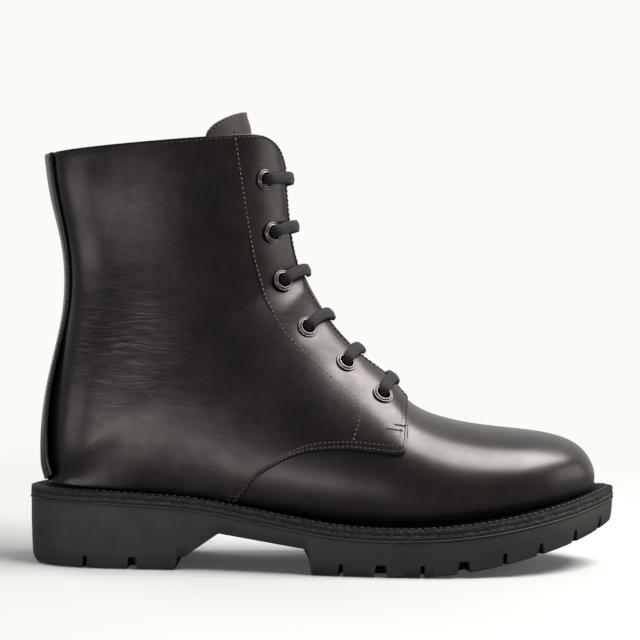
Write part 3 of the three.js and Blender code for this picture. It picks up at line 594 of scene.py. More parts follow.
def leather(name, colour, roughness=(0.34, 0.44), grain=0.12, crease=0.0, coat=0.12, polish=0.1):
    """Smooth polished leather: pore grain, faint creases and uneven polish."""
    n = Nodes(name)
    n.link(n.ramp(n.noise(24, 7, 0.62), worn_tones(colour)), n.shader.inputs["Base Color"])
    n.link(n.spread(n.noise(90, 6), *roughness), n.shader.inputs["Roughness"])
    n.bump(n.cells(2300), grain, 0.00012)
    n.bump(n.noise(5200, 3), grain, 0.00008)
    shine = n.spread(n.noise(42, 8, 0.7), 0.5 - polish, 0.5 + polish, 0.3, 0.7)
    n.link(shine, n.shader.inputs["Specular IOR Level"])
    if crease:
        ankle = n.near(50, 116, 50)
        n.bump(n.times(n.noise(1, 3, 0.5, n.scaled((48, 48, 260), (0, 0.1, 0)), 1.2), ankle), crease, 0.0008)
        n.bump(n.times(n.noise(1, 4, 0.6, n.scaled((60, 60, 130), (0, -0.3, 0)), 0.6), ankle), crease, 0.001)
        n.bump(n.noise(120, 5, 0.6), crease / 4, 0.0006)
    n.set(Coat_Weight=coat, Coat_Roughness=0.26, Specular_Tint=(1, 0.94, 0.93, 1))
    return n.material


def mottled(name, tones, spread, rough=None, bumps=(), **values):
    """Noise-driven tones (colour, scale, detail), roughness (scale, detail, low, high) and bumps."""
    n = Nodes(name)
    colour, scale, detail = tones
    n.link(n.ramp(n.noise(scale, detail), two_tones(colour, spread)), n.shader.inputs["Base Color"])
    if rough:
        n.link(n.spread(n.noise(*rough[:2]), *rough[2:]), n.shader.inputs["Roughness"])
    for noise, strength, depth in bumps:
        n.bump(n.noise(*noise), strength, depth)
    return n.set(**values)


def cut_edge(name, colour):
    """The rough, fibrous cut edge of welt and midsole leather."""
    n = Nodes(name)
    fibres = n.noise(1, 6, 0.7, n.scaled((260, 260, 1400)))
    n.link(n.ramp(fibres, two_tones(colour, 0.45)), n.shader.inputs["Base Color"])
    n.link(n.spread(n.noise(700, 5), 0.55, 0.85), n.shader.inputs["Roughness"])
    n.bump(fibres, 0.6, 0.0004)
    return n.bump(n.noise(900, 6), 0.7, 0.0005)


def welt_leather(name, colour):
    """A cut edge below, and near-black painted shade where the strip faces up under the upper."""
    n = cut_edge(name, colour)
    facing = n.add("ShaderNodeSeparateXYZ")
    n.link(n.add("ShaderNodeNewGeometry").outputs["True Normal"], facing.inputs["Vector"])
    # Painted shade: faces turned up under the upper are mixed towards near black.
    mix = n.add("ShaderNodeMix", data_type="RGBA")
    base = n.shader.inputs["Base Color"]
    n.link(base.links[0].from_socket, mix.inputs["A"])
    mix.inputs["B"].default_value = (0.0025, 0.0022, 0.002, 1)
    n.link(n.spread(facing.outputs["Z"], 0, 1, 0.55, 0.9), mix.inputs["Factor"])
    n.link(mix.outputs["Result"], base)
    return n.set(Specular_IOR_Level=0.2)


def thread(name, colour):
    bumps = [((6000, 2), 0.5, 0.0001)]
    return mottled(name, (colour, 1500, 3), 0.3, None, bumps, Roughness=0.55, Sheen_Weight=0.2).material


def metal(name, colour, low, high):
    return mottled(name, (colour, 420, 5), 0.12, (900, 4, low, high), Metallic=1.0).material


def fibrous(name, colour, scale=420):
    """Pressed board or cork: mottled and matt."""
    n = mottled(name, (colour, scale, 6), 0.35, (scale * 2, 4, 0.7, 0.9))
    return n.bump(n.cells(scale * 3), 0.3, 0.0002).material


BLACK = (0.0075, 0.0062, 0.0054)
UPPER = leather("upper_leather", BLACK, roughness=(0.28, 0.38), crease=0.3, coat=0.2, polish=0.16)
VAMP_FINISH = leather("vamp_leather", BLACK, roughness=(0.3, 0.38), grain=0.09, coat=0.3)
TONGUE_FINISH = leather("tongue_leather", (0.028, 0.024, 0.02), roughness=(0.42, 0.52), grain=0.2)
LINING = leather("lining_leather", (0.1, 0.068, 0.045), roughness=(0.6, 0.75), grain=0.3, coat=0.0)
# Dark lining leather; the quarter linings also use it low down as painted shade.
DARK_LINING = leather("facing_lining", (0.014, 0.011, 0.009), roughness=(0.55, 0.7), grain=0.3, coat=0.0)
RUBBER = mottled("sole_rubber", ((0.029, 0.029, 0.026), 55, 6), 0.22, (260, 5, 0.5, 0.68),
                 [((3200, 4), 0.35, 0.00012), ((160, 3), 0.12, 0.0006)]).material
WELT_PAINTED_SHADE = welt_leather("welt_edge_painted_shade", (0.031, 0.029, 0.026)).material
MIDSOLE = cut_edge("midsole_edge", (0.031, 0.029, 0.026)).material
SEAM_THREAD = thread("seam_thread", (0.17, 0.15, 0.125))
DARK_THREAD = thread("dark_thread", (0.036, 0.031, 0.026))
# Thread colour partly painted highlight: lighter than the real dark stitches so the rows read as the lit
# ridges beside them.
DERBY_THREAD_PAINTED_HIGHLIGHT = thread("derby_thread_painted_highlight", (0.085, 0.078, 0.07))
BLACK_THREAD = thread("black_thread", (0.006, 0.005, 0.005))
# Near-black painted shade for the inside of each needle hole.
HOLE_PAINTED_SHADE = leather("needle_hole", (0.002, 0.0018, 0.0016), roughness=(0.8, 0.9), coat=0.0)
WELT_THREAD = thread("welt_thread", (0.012, 0.011, 0.01))
LACE = mottled("lace_weave", ((0.012, 0.009, 0.0115), 1900, 4), 0.5, None, [((4200, 4), 0.6, 0.0002)],
               Roughness=0.8, Sheen_Weight=0.07, Sheen_Roughness=0.5).material
EYELET_METAL = metal("eyelet_gunmetal", (0.19, 0.175, 0.165), 0.3, 0.4)
STEEL = metal("shank_steel", (0.55, 0.55, 0.56), 0.3, 0.45)
# Near-black painted shade: board, rib, counter and puff are darkened so they read as shadow where they show
# above the welt.
BOARD_PAINTED_SHADE = fibrous("board_painted_shade", (0.012, 0.01, 0.0085))
CORK = fibrous("cork", (0.045, 0.026, 0.014), 260)
AGLET = metal("aglet_film", (0.03, 0.028, 0.027), 0.25, 0.35)


# ---- upper ----

def finish_piece(obj, slot, *nodes):
    """Hides the CAD nodes the piece stands for and fixes it to the boot. slot is not used."""
    if nodes:
        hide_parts(*nodes)
    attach(obj, "boot")


def path_on(side, stations, distances, offset):
    """Points and normals of a line drawn on the leather: distances are from the front ridge."""
    points, normals = [], []
    for s, d in zip(stations, distances):
        t = np.array([side * d / half_length(s, side)])
        normal = normal_row(s, t)[0]
        points.append(surface_row(s, t)[0] + normal * offset)
        normals.append(normal)
    return np.array(points), np.array(normals)


def point_on(side, s, distance, offset=0):
    """One point on the leather and its normal."""
    points, normals = path_on(side, [s], [distance], offset)
    return points[0], normals[0]


EYELET_SPOTS = [locate(x, z) for x, z in EYELETS]
EYELET_HOLE = 3.7
FACING_LINE = spline(np.array([locate(x, z) for x, z in FACING_SEAM]), steps=10)


def facing_line(side):
    return path_on(side, FACING_LINE[:, 0], FACING_LINE[:, 1], QUARTER_LAYER[1])


def front_line(side, inset):
    top = np.linspace(25.25, COLLAR - inset / 12, 16)
    stations = np.concatenate([np.linspace(THROAT + inset / THROAT_PITCH, 25.2, 120), top])
    distances = [facing_distance(s) + inset for s in stations]
    return path_on(side, stations, distances, QUARTER_LAYER[1])


def collar_line(side, inset):
    s = COLLAR - inset / COLLAR_PITCH
    distances = np.linspace(facing_distance(s) + inset, half_length(s, side) - backstay_half(s) - 0.6, 80)
    return path_on(side, np.full(80, s), distances, QUARTER_LAYER[1])


def derby_line(side, inset):
    stations = np.linspace(12.05, THROAT + inset / THROAT_PITCH, 110)
    distances = [derby_distance(s, side) - inset for s in stations]
    return path_on(side, stations, distances, QUARTER_LAYER[1])


def corner_line(side, inset):
    """Up the quarter's short front edge at the throat."""
    s = THROAT + inset / THROAT_PITCH
    low = derby_distance(s, side) - inset
    distances = np.linspace(low, facing_distance(s) + 1.4, 30)
    return path_on(side, np.full(30, s), distances, QUARTER_LAYER[1])


def edge_lines(side):
    return [front_line(side, 1.4), collar_line(side, 1.5)]


def derby_lines(side):
    """The two rows of stitches along the quarter's lower edge and up its front corner."""
    return [line(side, inset) for line in (derby_line, corner_line) for inset in (1.6, 4.1)]


def backstay_line(side, rows, inset):
    reach = [half_length(s, side) - backstay_half(s) + inset for s in rows]
    return path_on(side, rows, reach, BACKSTAY_LAYER[1])


def nearest(points, path):
    """Distance from each grid point to a path."""
    flat = points.reshape(-1, 3)
    best = np.full(len(flat), 1e9)
    for start in range(0, len(path), 40):
        part = path[start:start + 40]
        gap = np.linalg.norm(flat[:, None] - part[None], axis=2).min(1)
        best = np.minimum(best, gap)
    return best.reshape(points.shape[:2])


def quarter_edge(s, side):
    """Distance of the quarter's lower edge from the ridge, with its front corner rounded."""
    reach = np.clip(1 - (s - THROAT) * THROAT_PITCH / LOWER_CORNER, 0, 1)
    return derby_distance(s, side) - LOWER_CORNER * (1 - math.sqrt(1 - reach**2))


def backstay_half(s):
    """Half width of the backstay: widest at the heel seat, narrow at the ankle."""
    return BACKSTAY_HALF + 4 * float(smoothstep(s, 23.2, 26)) + 7 * (1 - float(smoothstep(s, 17.8, 21.5)))


HEEL_PASSES = 160


def smooth_heel(points, normals, rows, columns):
    """Evens out the leather where the station lines fan round the heel, away from the cut edges."""
    run = run_over(points, 1)
    weight = smoothstep(np.minimum(run, run[:, -1:] - run), 1, 11)
    weight *= (smoothstep(rows, 13.8, 15.4) * (1 - smoothstep(rows, 20.2, 22)))[:, None]
    even = points.copy()
    for _ in range(HEEL_PASSES):
        middle = even[1:-1, 1:-1]
        around = even[:-2, 1:-1] + even[2:, 1:-1] + even[1:-1, :-2] + even[1:-1, 2:]
        even[1:-1, 1:-1] = middle + weight[1:-1, 1:-1, None] * (around / 4 - middle)
    return even


def clear_of_eyelets(side, rows, columns):
    """Which grid cells lie outside the punched eyelet holes."""
    grid = np.array([surface_row(s, t) for s, t in zip(rows, columns)])
    middle = (grid[1:, 1:] + grid[:-1, 1:] + grid[1:, :-1] + grid[:-1, :-1]) / 4
    kept = np.ones(middle.shape[:2], bool)
    for s, d in EYELET_SPOTS:
        centre = point_on(side, s, d)[0]
        kept &= np.linalg.norm(middle - centre, axis=2) > EYELET_HOLE
    return kept


def quarter(side, label):
    lines = [facing_line(side), *edge_lines(side), *derby_lines(side)]
    seams = [resample(points, 0.6) for points, _ in lines]
    points, normals = backstay_line(side, np.linspace(BACK_BOTTOM, COLLAR, 160), -0.5)
    back_edge = points - (BACKSTAY_LAYER[1] - QUARTER_LAYER[0]) * normals
    rows = np.concatenate([
        THROAT + LOW_ENDS,
        np.linspace(THROAT + 0.08, THROAT + 0.3, 8),
        np.linspace(THROAT + 0.36, 17.9, 128),
        np.linspace(BACK_BOTTOM, COLLAR - 0.12, 96),
        COLLAR - COLLAR_ENDS,
    ])

    def reach(s):
        end = half_length(s, side) - (0.2 if s >= BACK_BOTTOM else 0)
        return facing_distance(s), min(quarter_edge(s, side), end)

    columns = side_columns(rows, side, 120, reach)

    def relief(base, edge):
        channel = sum(-0.3 * exp_bump(nearest(base, seam), 0, 1.0) for seam in seams)
        channel = channel - 0.6 * exp_bump(nearest(base, back_edge), 0, 1.1)
        swell = 0.25 * smoothstep(edge, 0, 6) - 0.25
        for s, d in EYELET_SPOTS:
            away = np.linalg.norm(base - point_on(side, s, d)[0], axis=2)
            swell = swell - 0.5 * exp_bump(away, 0, 7.5)
        x, z = base[..., 0], base[..., 2]
        bend = z + 2.5 * np.sin(x * 0.05) + 1.2 * np.sin(x * 0.17 + 1)
        wave = np.sin(bend * 0.43) + 0.7 * np.sin(bend * 0.71 + 2) + 0.5 * np.sin(bend * 1.3 + x * 0.05)
        return channel + swell + 0.035 * wave * exp_bump(z, 118, 34) * exp_bump(x, 70, 55)

    obj = shell("quarter_" + label + "_leather", rows, columns, QUARTER_LAYER, UPPER, relief=relief,
                shape=smooth_heel, keep=clear_of_eyelets(side, rows, columns), row_edges=(True, True))
    finish_piece(obj, "upper_leather", "quarter_" + label)


WING_OVERLAP = 11


def wing_share(s, side):
    """Where the vamp's wing starts on a station line, tucked under the quarter."""
    line = max(s, THROAT + 0.1)
    return (derby_distance(line, side) - WING_OVERLAP) / half_length(line, side)


def vamp():
    ahead = np.concatenate([np.linspace(0, 1, 16), np.linspace(1.08, THROAT, 92)])
    behind = np.linspace(THROAT + 0.08, 12.1, 44)
    rows = np.concatenate([ahead, behind])
    wing, middle = 26, 90
    columns = []
    for s in rows:
        inner, outer = wing_share(s, MEDIAL), wing_share(s, LATERAL)
        if s < 1e-9:
            inner = outer = min(inner, outer)
        medial = np.linspace(-1, -inner, wing + 1)
        lateral = np.linspace(outer, 1, wing + 1)
        centre = np.linspace(-inner, 0, middle // 2 + 1)[1:], np.linspace(0, outer, middle // 2 + 1)[1:-1]
        columns.append(np.concatenate([medial, *centre, lateral]))
    cells = np.ones((len(rows) - 1, len(columns[0]) - 1), bool)
    cells[len(ahead) - 1:, wing:wing + middle] = False

    def sink(points, normals, rows, columns):
        depth = smoothstep(rows, 8.3, 9.2) * 0.2
        return points - normals * depth[:, None, None]

    obj = shell("vamp_leather", rows, columns, VAMP_LAYER, VAMP_FINISH, keep=cells, tip_closed=True,
                roll=0, shape=sink)
    finish_piece(obj, "upper_leather", "vamp")


def backstay():
    rows = np.concatenate([BACK_BOTTOM + LOW_ENDS, np.linspace(18.1, 25.85, 110), COLLAR - COLLAR_ENDS])

    def reach(s):
        length, half = half_length(s, LATERAL), backstay_half(s)
        return length - half, length + half

    columns = side_columns(rows, LATERAL, 26, reach)
    seams = [resample(backstay_line(side, rows, 1.5)[0], 0.8) for side in SIDES.values()]

    def relief(base, edge):
        return sum(-0.2 * exp_bump(nearest(base, seam), 0, 0.8) for seam in seams)

    def seat(points, normals, rows, columns):
        """The lowest rows tuck in to the welt."""
        tuck = (1 - smoothstep(rows, 18, 18.55))[:, None, None]
        return points + tuck * np.array([1.3, 0.0, -1.9])

    obj = shell("backstay_leather", rows, columns, BACKSTAY_LAYER, UPPER, shape=seat, row_edges=(False, True),
                relief=relief)
    finish_piece(obj, "upper_leather", "backstay")


def quarter_lining(side, label):
    """The lining hangs inside, comes up to the collar's edge, and is painted dark low down as shade in the
    gap above the welt.
    """
    top = COLLAR - 0.02 - COLLAR_ENDS
    rows = np.concatenate([np.linspace(9.5, 17.9, 40), np.linspace(18, 25.86, 60), top])

    def reach(s):
        start = max(36.0 - 22 * float(smoothstep(s, 25.1, 25.8)), facing_distance(s) + 0.6)
        return start, half_length(s, side) - (0.2 if s >= BACK_BOTTOM else 3.0)

    def rise(points, normals, rows, columns):
        lift = smoothstep(rows, 24.9, 25.9) * 4.1
        return points + normals * lift[:, None, None]

    columns = side_columns(rows, side, 50, reach)
    obj = shell("quarter_lining_" + label + "_leather", rows, columns, LINING_LAYER,
                [LINING, DARK_LINING], row_edges=(False, True), shape=rise)
    # Painted shade: faces low in the lining take the dark lining colour.
    shaded_low = [int(face.center.z < SHADE_TOP * MM) for face in obj.data.polygons]
    obj.data.polygons.foreach_set("material_index", shaded_low)
    finish_piece(obj, "lining_leather", "quarter_lining_" + label)


TIP_START, TIP_LENGTH = 25.85, 1.12


def tongue_shape(points, normals, rows, columns):
    """Swells into the gap between the facings low down and leans back towards the tip."""
    out = points.copy()
    for i, s in enumerate(rows):
        distance = np.abs(columns[i]) * lengths_at(s, columns[i])
        low = smoothstep(s, 8.3, 9.6) * (1 - smoothstep(s, 14, 20))
        crown = smoothstep(s, 18, 24) * (1 - smoothstep(s, 26.2, 27))
        swell = 7.4 * low * exp_bump(distance, 0, 11) + 1.5 * crown * exp_bump(distance, 0, 14)
        out[i] += normals[i] * swell[:, None]
        out[i, :, 0] -= 11.5 * smoothstep(s, 19, 27)
    return out


def tongue_half(s):
    width = TONGUE_HALF + (TONGUE_TOP_HALF - TONGUE_HALF) * float(smoothstep(s, 20, 25))
    width *= 0.72 + 0.28 * float(smoothstep(s, 7.5, 11))
    return width * math.sqrt(max(0.0, 1 - (max(0.0, s - TIP_START) / TIP_LENGTH) ** 2))


def tongue():
    tip = TIP_START + 0.995 * TIP_LENGTH * np.sin(np.linspace(0, 1, 40) * math.pi / 2)
    rows = np.concatenate([np.linspace(7.55, TIP_START - 0.05, 160), tip])
    columns = []
    for s in rows:
        spots = across(2 * tongue_half(s), 56) - tongue_half(s)
        columns.append(spots / lengths_at(s, spots))

    def relief(base, edge):
        return -0.2 * exp_bump(edge, 2.2, 0.6)

    obj = shell("tongue_leather", rows, columns, TONGUE_LAYER, TONGUE_FINISH, shape=tongue_shape,
                row_edges=(False, True), relief=relief)
    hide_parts("tongue")
    blend_tongue(obj)


def blend_tongue(obj):
    """Bakes the tongue's placement into its mesh."""
    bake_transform(obj)


# ---- thread ----

STITCH_RINGS, STITCH_SIDES, HOLE_SIDES = 6, 6, 8


def tube_faces(rings, sides):
    """Faces of a closed tube of rings of points, with flat ends."""
    faces = []
    for r in range(rings - 1):
        base = r * sides
        for k in range(sides):
            n = (k + 1) % sides
            faces.append((base + k, base + n, base + n + sides, base + k + sides))
    faces.append(tuple(range(sides))[::-1])
    faces.append(tuple((rings - 1) * sides + k for k in range(sides)))
    return faces


def stitch_mesh(a, b, normal, radius, arch):
    """One sewn thread between two needle holes: a round thread that dives in at both ends."""
    along = b - a
    length = np.linalg.norm(along)
    along = along / length
    side = np.cross(normal, along)
    side /= np.linalg.norm(side)
    up = np.cross(along, side)
    points = []
    for u in np.linspace(0, 1, STITCH_RINGS):
        height = arch * math.sin(math.pi * u) - radius * 0.55
        thick = radius * (0.55 + 0.45 * math.sin(math.pi * u) ** 0.5)
        centre = a + along * (length * u) + up * height
        for k in range(STITCH_SIDES):
            angle = 2 * math.pi * k / STITCH_SIDES
            points.append(centre + side * thick * math.cos(angle) + up * thick * math.sin(angle))
    return points, tube_faces(STITCH_RINGS, STITCH_SIDES)


def needle_hole(centre, normal, along, radius):
    """The dimple where the thread dives into the leather; stitches() colours it near black as painted shade.
    """
    side = np.cross(normal, along)
    side /= max(1e-9, np.linalg.norm(side))
    ahead = np.cross(side, normal)
    ring = [centre - normal * 0.16]
    for share, drop in ((0.55, 0.1), (1.0, 0.2)):
        for angle in np.linspace(0, 2 * math.pi, HOLE_SIDES, endpoint=False):
            turned = side * math.cos(angle) + ahead * math.sin(angle)
            ring.append(centre - normal * drop + radius * share * turned)
    ring.append(centre - normal * 0.5)
    inner, outer, under = 1, 1 + HOLE_SIDES, 1 + 2 * HOLE_SIDES
    faces = []
    for k in range(HOLE_SIDES):
        n = (k + 1) % HOLE_SIDES
        faces.append((0, inner + k, inner + n))
        faces.append((inner + k, outer + k, outer + n, inner + n))
        faces.append((outer + k, under, outer + n))
    return ring, faces


def joined(parts):
    """Points and faces of several meshes as one."""
    points, faces = [], []
    for part_points, part_faces in parts:
        base = len(points)
        points.extend(part_points)
        faces.extend([tuple(base + v for v in face) for face in part_faces])
    return points, faces


def stitches(name, lines, material, pitch, radius, gap, arch=0.22, hole=0.5):
    """Sewn lines as one piece, with a dimple at every needle hole. Each line is (points, normals)."""
    parts, kinds = [], []
    for line, normals in lines:
        both = resample(np.hstack([line, normals]), pitch)
        for i in range(len(both) - 1):
            a, b = both[i, :3], both[i + 1, :3]
            step = b - a
            trim = gap / 2 / max(1e-9, np.linalg.norm(step))
            sway = rng.normal(0, 0.04, 3)
            start, end = a + step * trim + sway, b - step * trim + sway
            parts.append(stitch_mesh(start, end, both[i, 3:], radius, arch))
            kinds += [0] * len(parts[-1][1])
            if hole:
                parts.append(needle_hole(a, both[i, 3:], step, hole))
                kinds += [1] * len(parts[-1][1])
    obj = make_object(name, *joined(parts), [material, HOLE_PAINTED_SHADE])
    obj.data.polygons.foreach_set("material_index", kinds)
    return obj


def seam_threads():
    for label, side in SIDES.items():
        back = [backstay_line(side, np.linspace(18.15, 25.85, 90), 1.5)]
        seams = [
            ("facing_seam_", [facing_line(side)], SEAM_THREAD, 2.5, 0.35, 1.3, 0.22, 0.62),
            ("edge_seams_", edge_lines(side), BLACK_THREAD, 2.5, 0.36, 0.9, 0.22, 0.55),
            ("derby_seams_", derby_lines(side), DERBY_THREAD_PAINTED_HIGHLIGHT, 2.3, 0.27, 1.0, 0.22, 0.62),
            ("backstay_seam_", back, DARK_THREAD, 2.3, 0.24, 0.6, 0.22, 0.5),
        ]
        for name, *sewing in seams:
            finish_piece(stitches(name + label, *sewing), "thread")


def tongue_thread():
    """A row of stitches round the tongue's tip, moved with the tongue's own shape."""
    tip = TIP_START + 0.85 * TIP_LENGTH * np.sin(np.linspace(0, 1, 24) * math.pi / 2)
    stations = np.concatenate([np.linspace(19, TIP_START - 0.05, 30), tip])
    lines = []
    for side in SIDES.values():
        distances = [max(0.0, tongue_half(s) - 2.2) for s in stations]
        points, normals = path_on(side, stations, distances, TONGUE_LAYER[1])
        shares = [np.array([side * d / half_length(s, side)]) for s, d in zip(stations, distances)]
        moved = tongue_shape(points[:, None], normals[:, None], stations, shares)[:, 0]
        lines.append((moved, normals))
    obj = stitches("tongue_seam", lines, BLACK_THREAD, pitch=2.4, radius=0.34, gap=0.8)
    blend_tongue(obj)


# Side-view ends x, z of the two short heavy stitch bars at the quarter's lower front corner.
BAR_TACKS = [[(189.0, 74.4), (196.4, 72.9)], [(185.2, 72.6), (193.2, 71.3)]]


def bar_tacks():
    for label, side in SIDES.items():
        lines = []
        for start, end in BAR_TACKS:
            spots = [locate(x, z) for x, z in np.linspace(start, end, 5)]
            stations = [max(s, THROAT + 0.06) for s, _ in spots]
            lines.append(path_on(side, stations, [d for _, d in spots], QUARTER_LAYER[1] + 0.1))
        tacks = stitches("bar_tacks_" + label, lines, BLACK_THREAD, pitch=1.1, radius=0.55, gap=0, hole=0)
        finish_piece(tacks, "thread")


# ---- eyelets ----

def lathe(outline, segments=48):
    """A ring from a closed outline of (radius, height), axis +Z."""
    points, faces = [], []
    for i in range(segments):
        angle = 2 * math.pi * i / segments
        for r, z in outline:
            points.append((r * math.cos(angle), r * math.sin(angle), z))
    n = len(outline)
    for i in range(segments):
        for j in range(n):
            a, b = i * n + j, i * n + (j + 1) % n
            c, d = ((i + 1) % segments) * n + (j + 1) % n, ((i + 1) % segments) * n + j
            faces.append((a, d, c, b))
    return np.array(points), faces


def arc(r, z, wide, tall, start, end, count):
    angles = np.linspace(start, end, count)
    return [(r + wide * math.cos(a), z + tall * math.sin(a)) for a in angles]


def eyelet_profile():
    """A rolled inner rim, a shallow dish, a thin raised outer edge, a barrel and a clenched lower rim."""
    edge = arc(5.2, 2.3, 0.3, 0.36, -0.6, math.pi * 0.8, 9)
    dish = [(4.8, 2.36), (4.6, 2.4)]
    rim = arc(3.95, 2.75, 0.52, 0.55, 0.3, math.pi, 9)
    barrel = [(3.35, 1.8), (3.25, 0.5), (3.2, -1.6), (3.25, -2.5)]
    foot = arc(4.0, -2.6, 0.9, 0.45, -math.pi, 0, 7)
    outer = [(4.6, -2.2), (3.6, -2.1), (3.6, 2.0), (5.1, 2.02)]
    return edge + dish + rim + barrel + foot + outer


def eyelets():
    shape, faces = lathe(eyelet_profile())
    for label, side in SIDES.items():
        for number, (s, d) in enumerate(EYELET_SPOTS, 1):
            centre, normal = point_on(side, s, d)
            turn = np.array(Vector((0, 0, 1)).rotation_difference(Vector(normal)).to_matrix())
            name = f"eyelet_{label}_{number}"
            obj = make_object(name + "_rolled", shape @ turn.T + centre, faces, EYELET_METAL)
            weld(obj)
            finish_piece(obj, "eyelet_metal", name)


# ---- lace ----

# Side-view points x, z where each lace bar stands out most, top bar first.
BAR_ENDS = [(136, 201), (139, 176), (143, 152), (155, 128), (173, 112), (191, 96)]


def ridge_spot(x, z):
    """Station line of the front ridge nearest to a bar's end, and the bar's offset there."""
    stations = np.linspace(THROAT, COLLAR, 600)
    ridge = np.array([station(s)[:2] for s in stations])
    away = np.hypot(ridge[:, 0] - x, ridge[:, 1] - z)
    return float(stations[away.argmin()]), float(np.clip(away.min() - 1.7, 1.4, 6.0))


def lace_controls():
    """Centre, up direction, half width and half thickness along the one lace."""
    controls = []

    def add(point, up, half_width, half_thick):
        controls.append(np.concatenate([point, up / np.linalg.norm(up), [half_width, half_thick]]))

    def through(s, d, side, upwards):
        """From inside to the top of one eyelet, or the other way round."""
        centre, normal = point_on(side, s, d)
        inwards = point_on(side, s, d - 2)[0] - centre
        inwards /= np.linalg.norm(inwards)
        steps = [
            (centre - normal * 3.6, -inwards, 2.0, 1.2),
            (centre + normal * 0.4, -inwards, 2.2, 1.25),
            (centre + normal * 2.6 + inwards * 0.5, normal * 0.35 - inwards, 2.4, 1.2),
            (centre + normal * 4.4 + inwards * 2.6, normal - inwards * 0.5, 2.85, 1.5),
        ]
        for step in steps if upwards else steps[::-1]:
            add(*step)

    def bar(s, d, side, end):
        """Up one eyelet, over the facings to where the bar stands out most, and down its partner."""
        middle_s, middle_offset = ridge_spot(*end)
        through(s, d, side, True)
        for step in (0.68, 0.45, 0.2, 0.0, -0.2, -0.45, -0.68):
            share, where = abs(step), side if step >= 0 else -side
            here = middle_s + (s - middle_s) * float(smoothstep(share, -0.1, 0.95))
            height = middle_offset + (4.0 - middle_offset) * float(smoothstep(share, 0, 0.45))
            point, normal = point_on(where, here, d * share, height)
            add(point, normal, 3.05, 1.7)
        through(s, d, -side, False)

    def run(side, first, second, shares):
        (s0, d0), (s1, d1) = EYELET_SPOTS[first], EYELET_SPOTS[second]
        for u in shares:
            point, normal = point_on(side, s0 + (s1 - s0) * u, d0 + (d1 - d0) * u, -5.4)
            add(point, -normal, 3.0, 0.95)

    run(LATERAL, 0, 1, [0.42, 0.32, 0.2])
    side = LATERAL
    for k, (s, d) in enumerate(EYELET_SPOTS):
        bar(s, d, side, BAR_ENDS[k])
        side = -side
        if k < len(EYELET_SPOTS) - 1:
            run(side, k, k + 1, [0.25, 0.5, 0.75])
    run(side, 5, 4, [0.2, 0.32, 0.42])
    return np.array(controls)


def lace():
    """A flat woven lace with modelled ribs, swept along its path."""
    path = resample(spline(lace_controls(), steps=16)[:, :8], 0.42)
    centres, ups = path[:, :3], path[:, 3:6]
    tangents = np.gradient(centres, axis=0)
    tangents /= np.linalg.norm(tangents, axis=1, keepdims=True)
    ups = ups - tangents * (ups * tangents).sum(1, keepdims=True)
    ups /= np.maximum(1e-6, np.linalg.norm(ups, axis=1, keepdims=True))
    wides = np.cross(ups, tangents)
    around = 28
    angle = np.linspace(0, 2 * math.pi, around, endpoint=False)
    flat = np.sign(np.cos(angle)) * np.abs(np.cos(angle)) ** 0.8
    tall = np.sign(np.sin(angle)) * np.abs(np.sin(angle)) ** 0.7
    zigzag = np.abs((run_over(centres)[:, None] / 1.3) % 2 - 1)
    weave = 0.15 * np.cos(7 * angle[None] + 0.7 * math.pi * zigzag)
    width = path[:, 6:7] + 0.4 * weave
    thick = path[:, 7:8] + weave
    rings = centres[:, None] + wides[:, None] * (width * flat)[..., None]
    rings = rings + ups[:, None] * (thick * tall)[..., None]
    obj = make_object("lace_woven", rings.reshape(-1, 3), tube_faces(len(rings), around), LACE)
    weld(obj, 1e-7)
    finish_piece(obj, "lace_cotton", "lace")


# ---- sole ----

K_END = len(SOLE) - 1.0
K_FINE = np.linspace(0, K_END, 1500)
SOLE_FINE = relaxed(read(SOLE, K_FINE), 22)


def sole_values(k):
    return np.stack([np.interp(k, K_FINE, SOLE_FINE[:, c]) for c in range(4)], -1)


def sole_rows(pitch):
    """Rows evenly spaced along the lateral edge."""
    run = run_over(SOLE_FINE[:, :2])
    return np.interp(np.linspace(0, run[-1], int(run[-1] / pitch)), run, K_FINE)


def edge_points(k, side):
    """Edge point in plan and inward normal for an array of rows."""
    low, high = np.maximum(0, k - 0.03), np.minimum(K_END, k + 0.03)
    value, before, after = sole_values(k), sole_values(low), sole_values(high)
    column, sign = (1, -1) if side == LATERAL else (2, 1)
    here = np.stack([value[:, 0], sign * value[:, column]], 1)
    along = np.stack([after[:, 0] - before[:, 0], sign * (after[:, column] - before[:, column])], 1)
    along[k <= 0] = (0, sign)
    along[k >= K_END] = (0, -sign)
    along /= np.linalg.norm(along, axis=1, keepdims=True)
    inward = np.stack([-along[:, 1], along[:, 0]], 1) * side
    return here, inward, value[:, 3]


def sole_loop(k, inset, height, side_noise=0.0):
    """A closed loop round the sole: lateral rows heel to toe, then medial rows back."""
    parts = []
    for side in (LATERAL, MEDIAL):
        here, inward, top = edge_points(k, side)
        rough = rng.normal(0, side_noise, len(k)) if side_noise else 0
        xy = here + inward * np.reshape(inset + rough, (-1, 1))
        z = height(xy[:, 0], top)
        part = np.column_stack([xy, z])
        parts.append(part if side == LATERAL else part[-2:0:-1])
    return np.concatenate(parts)


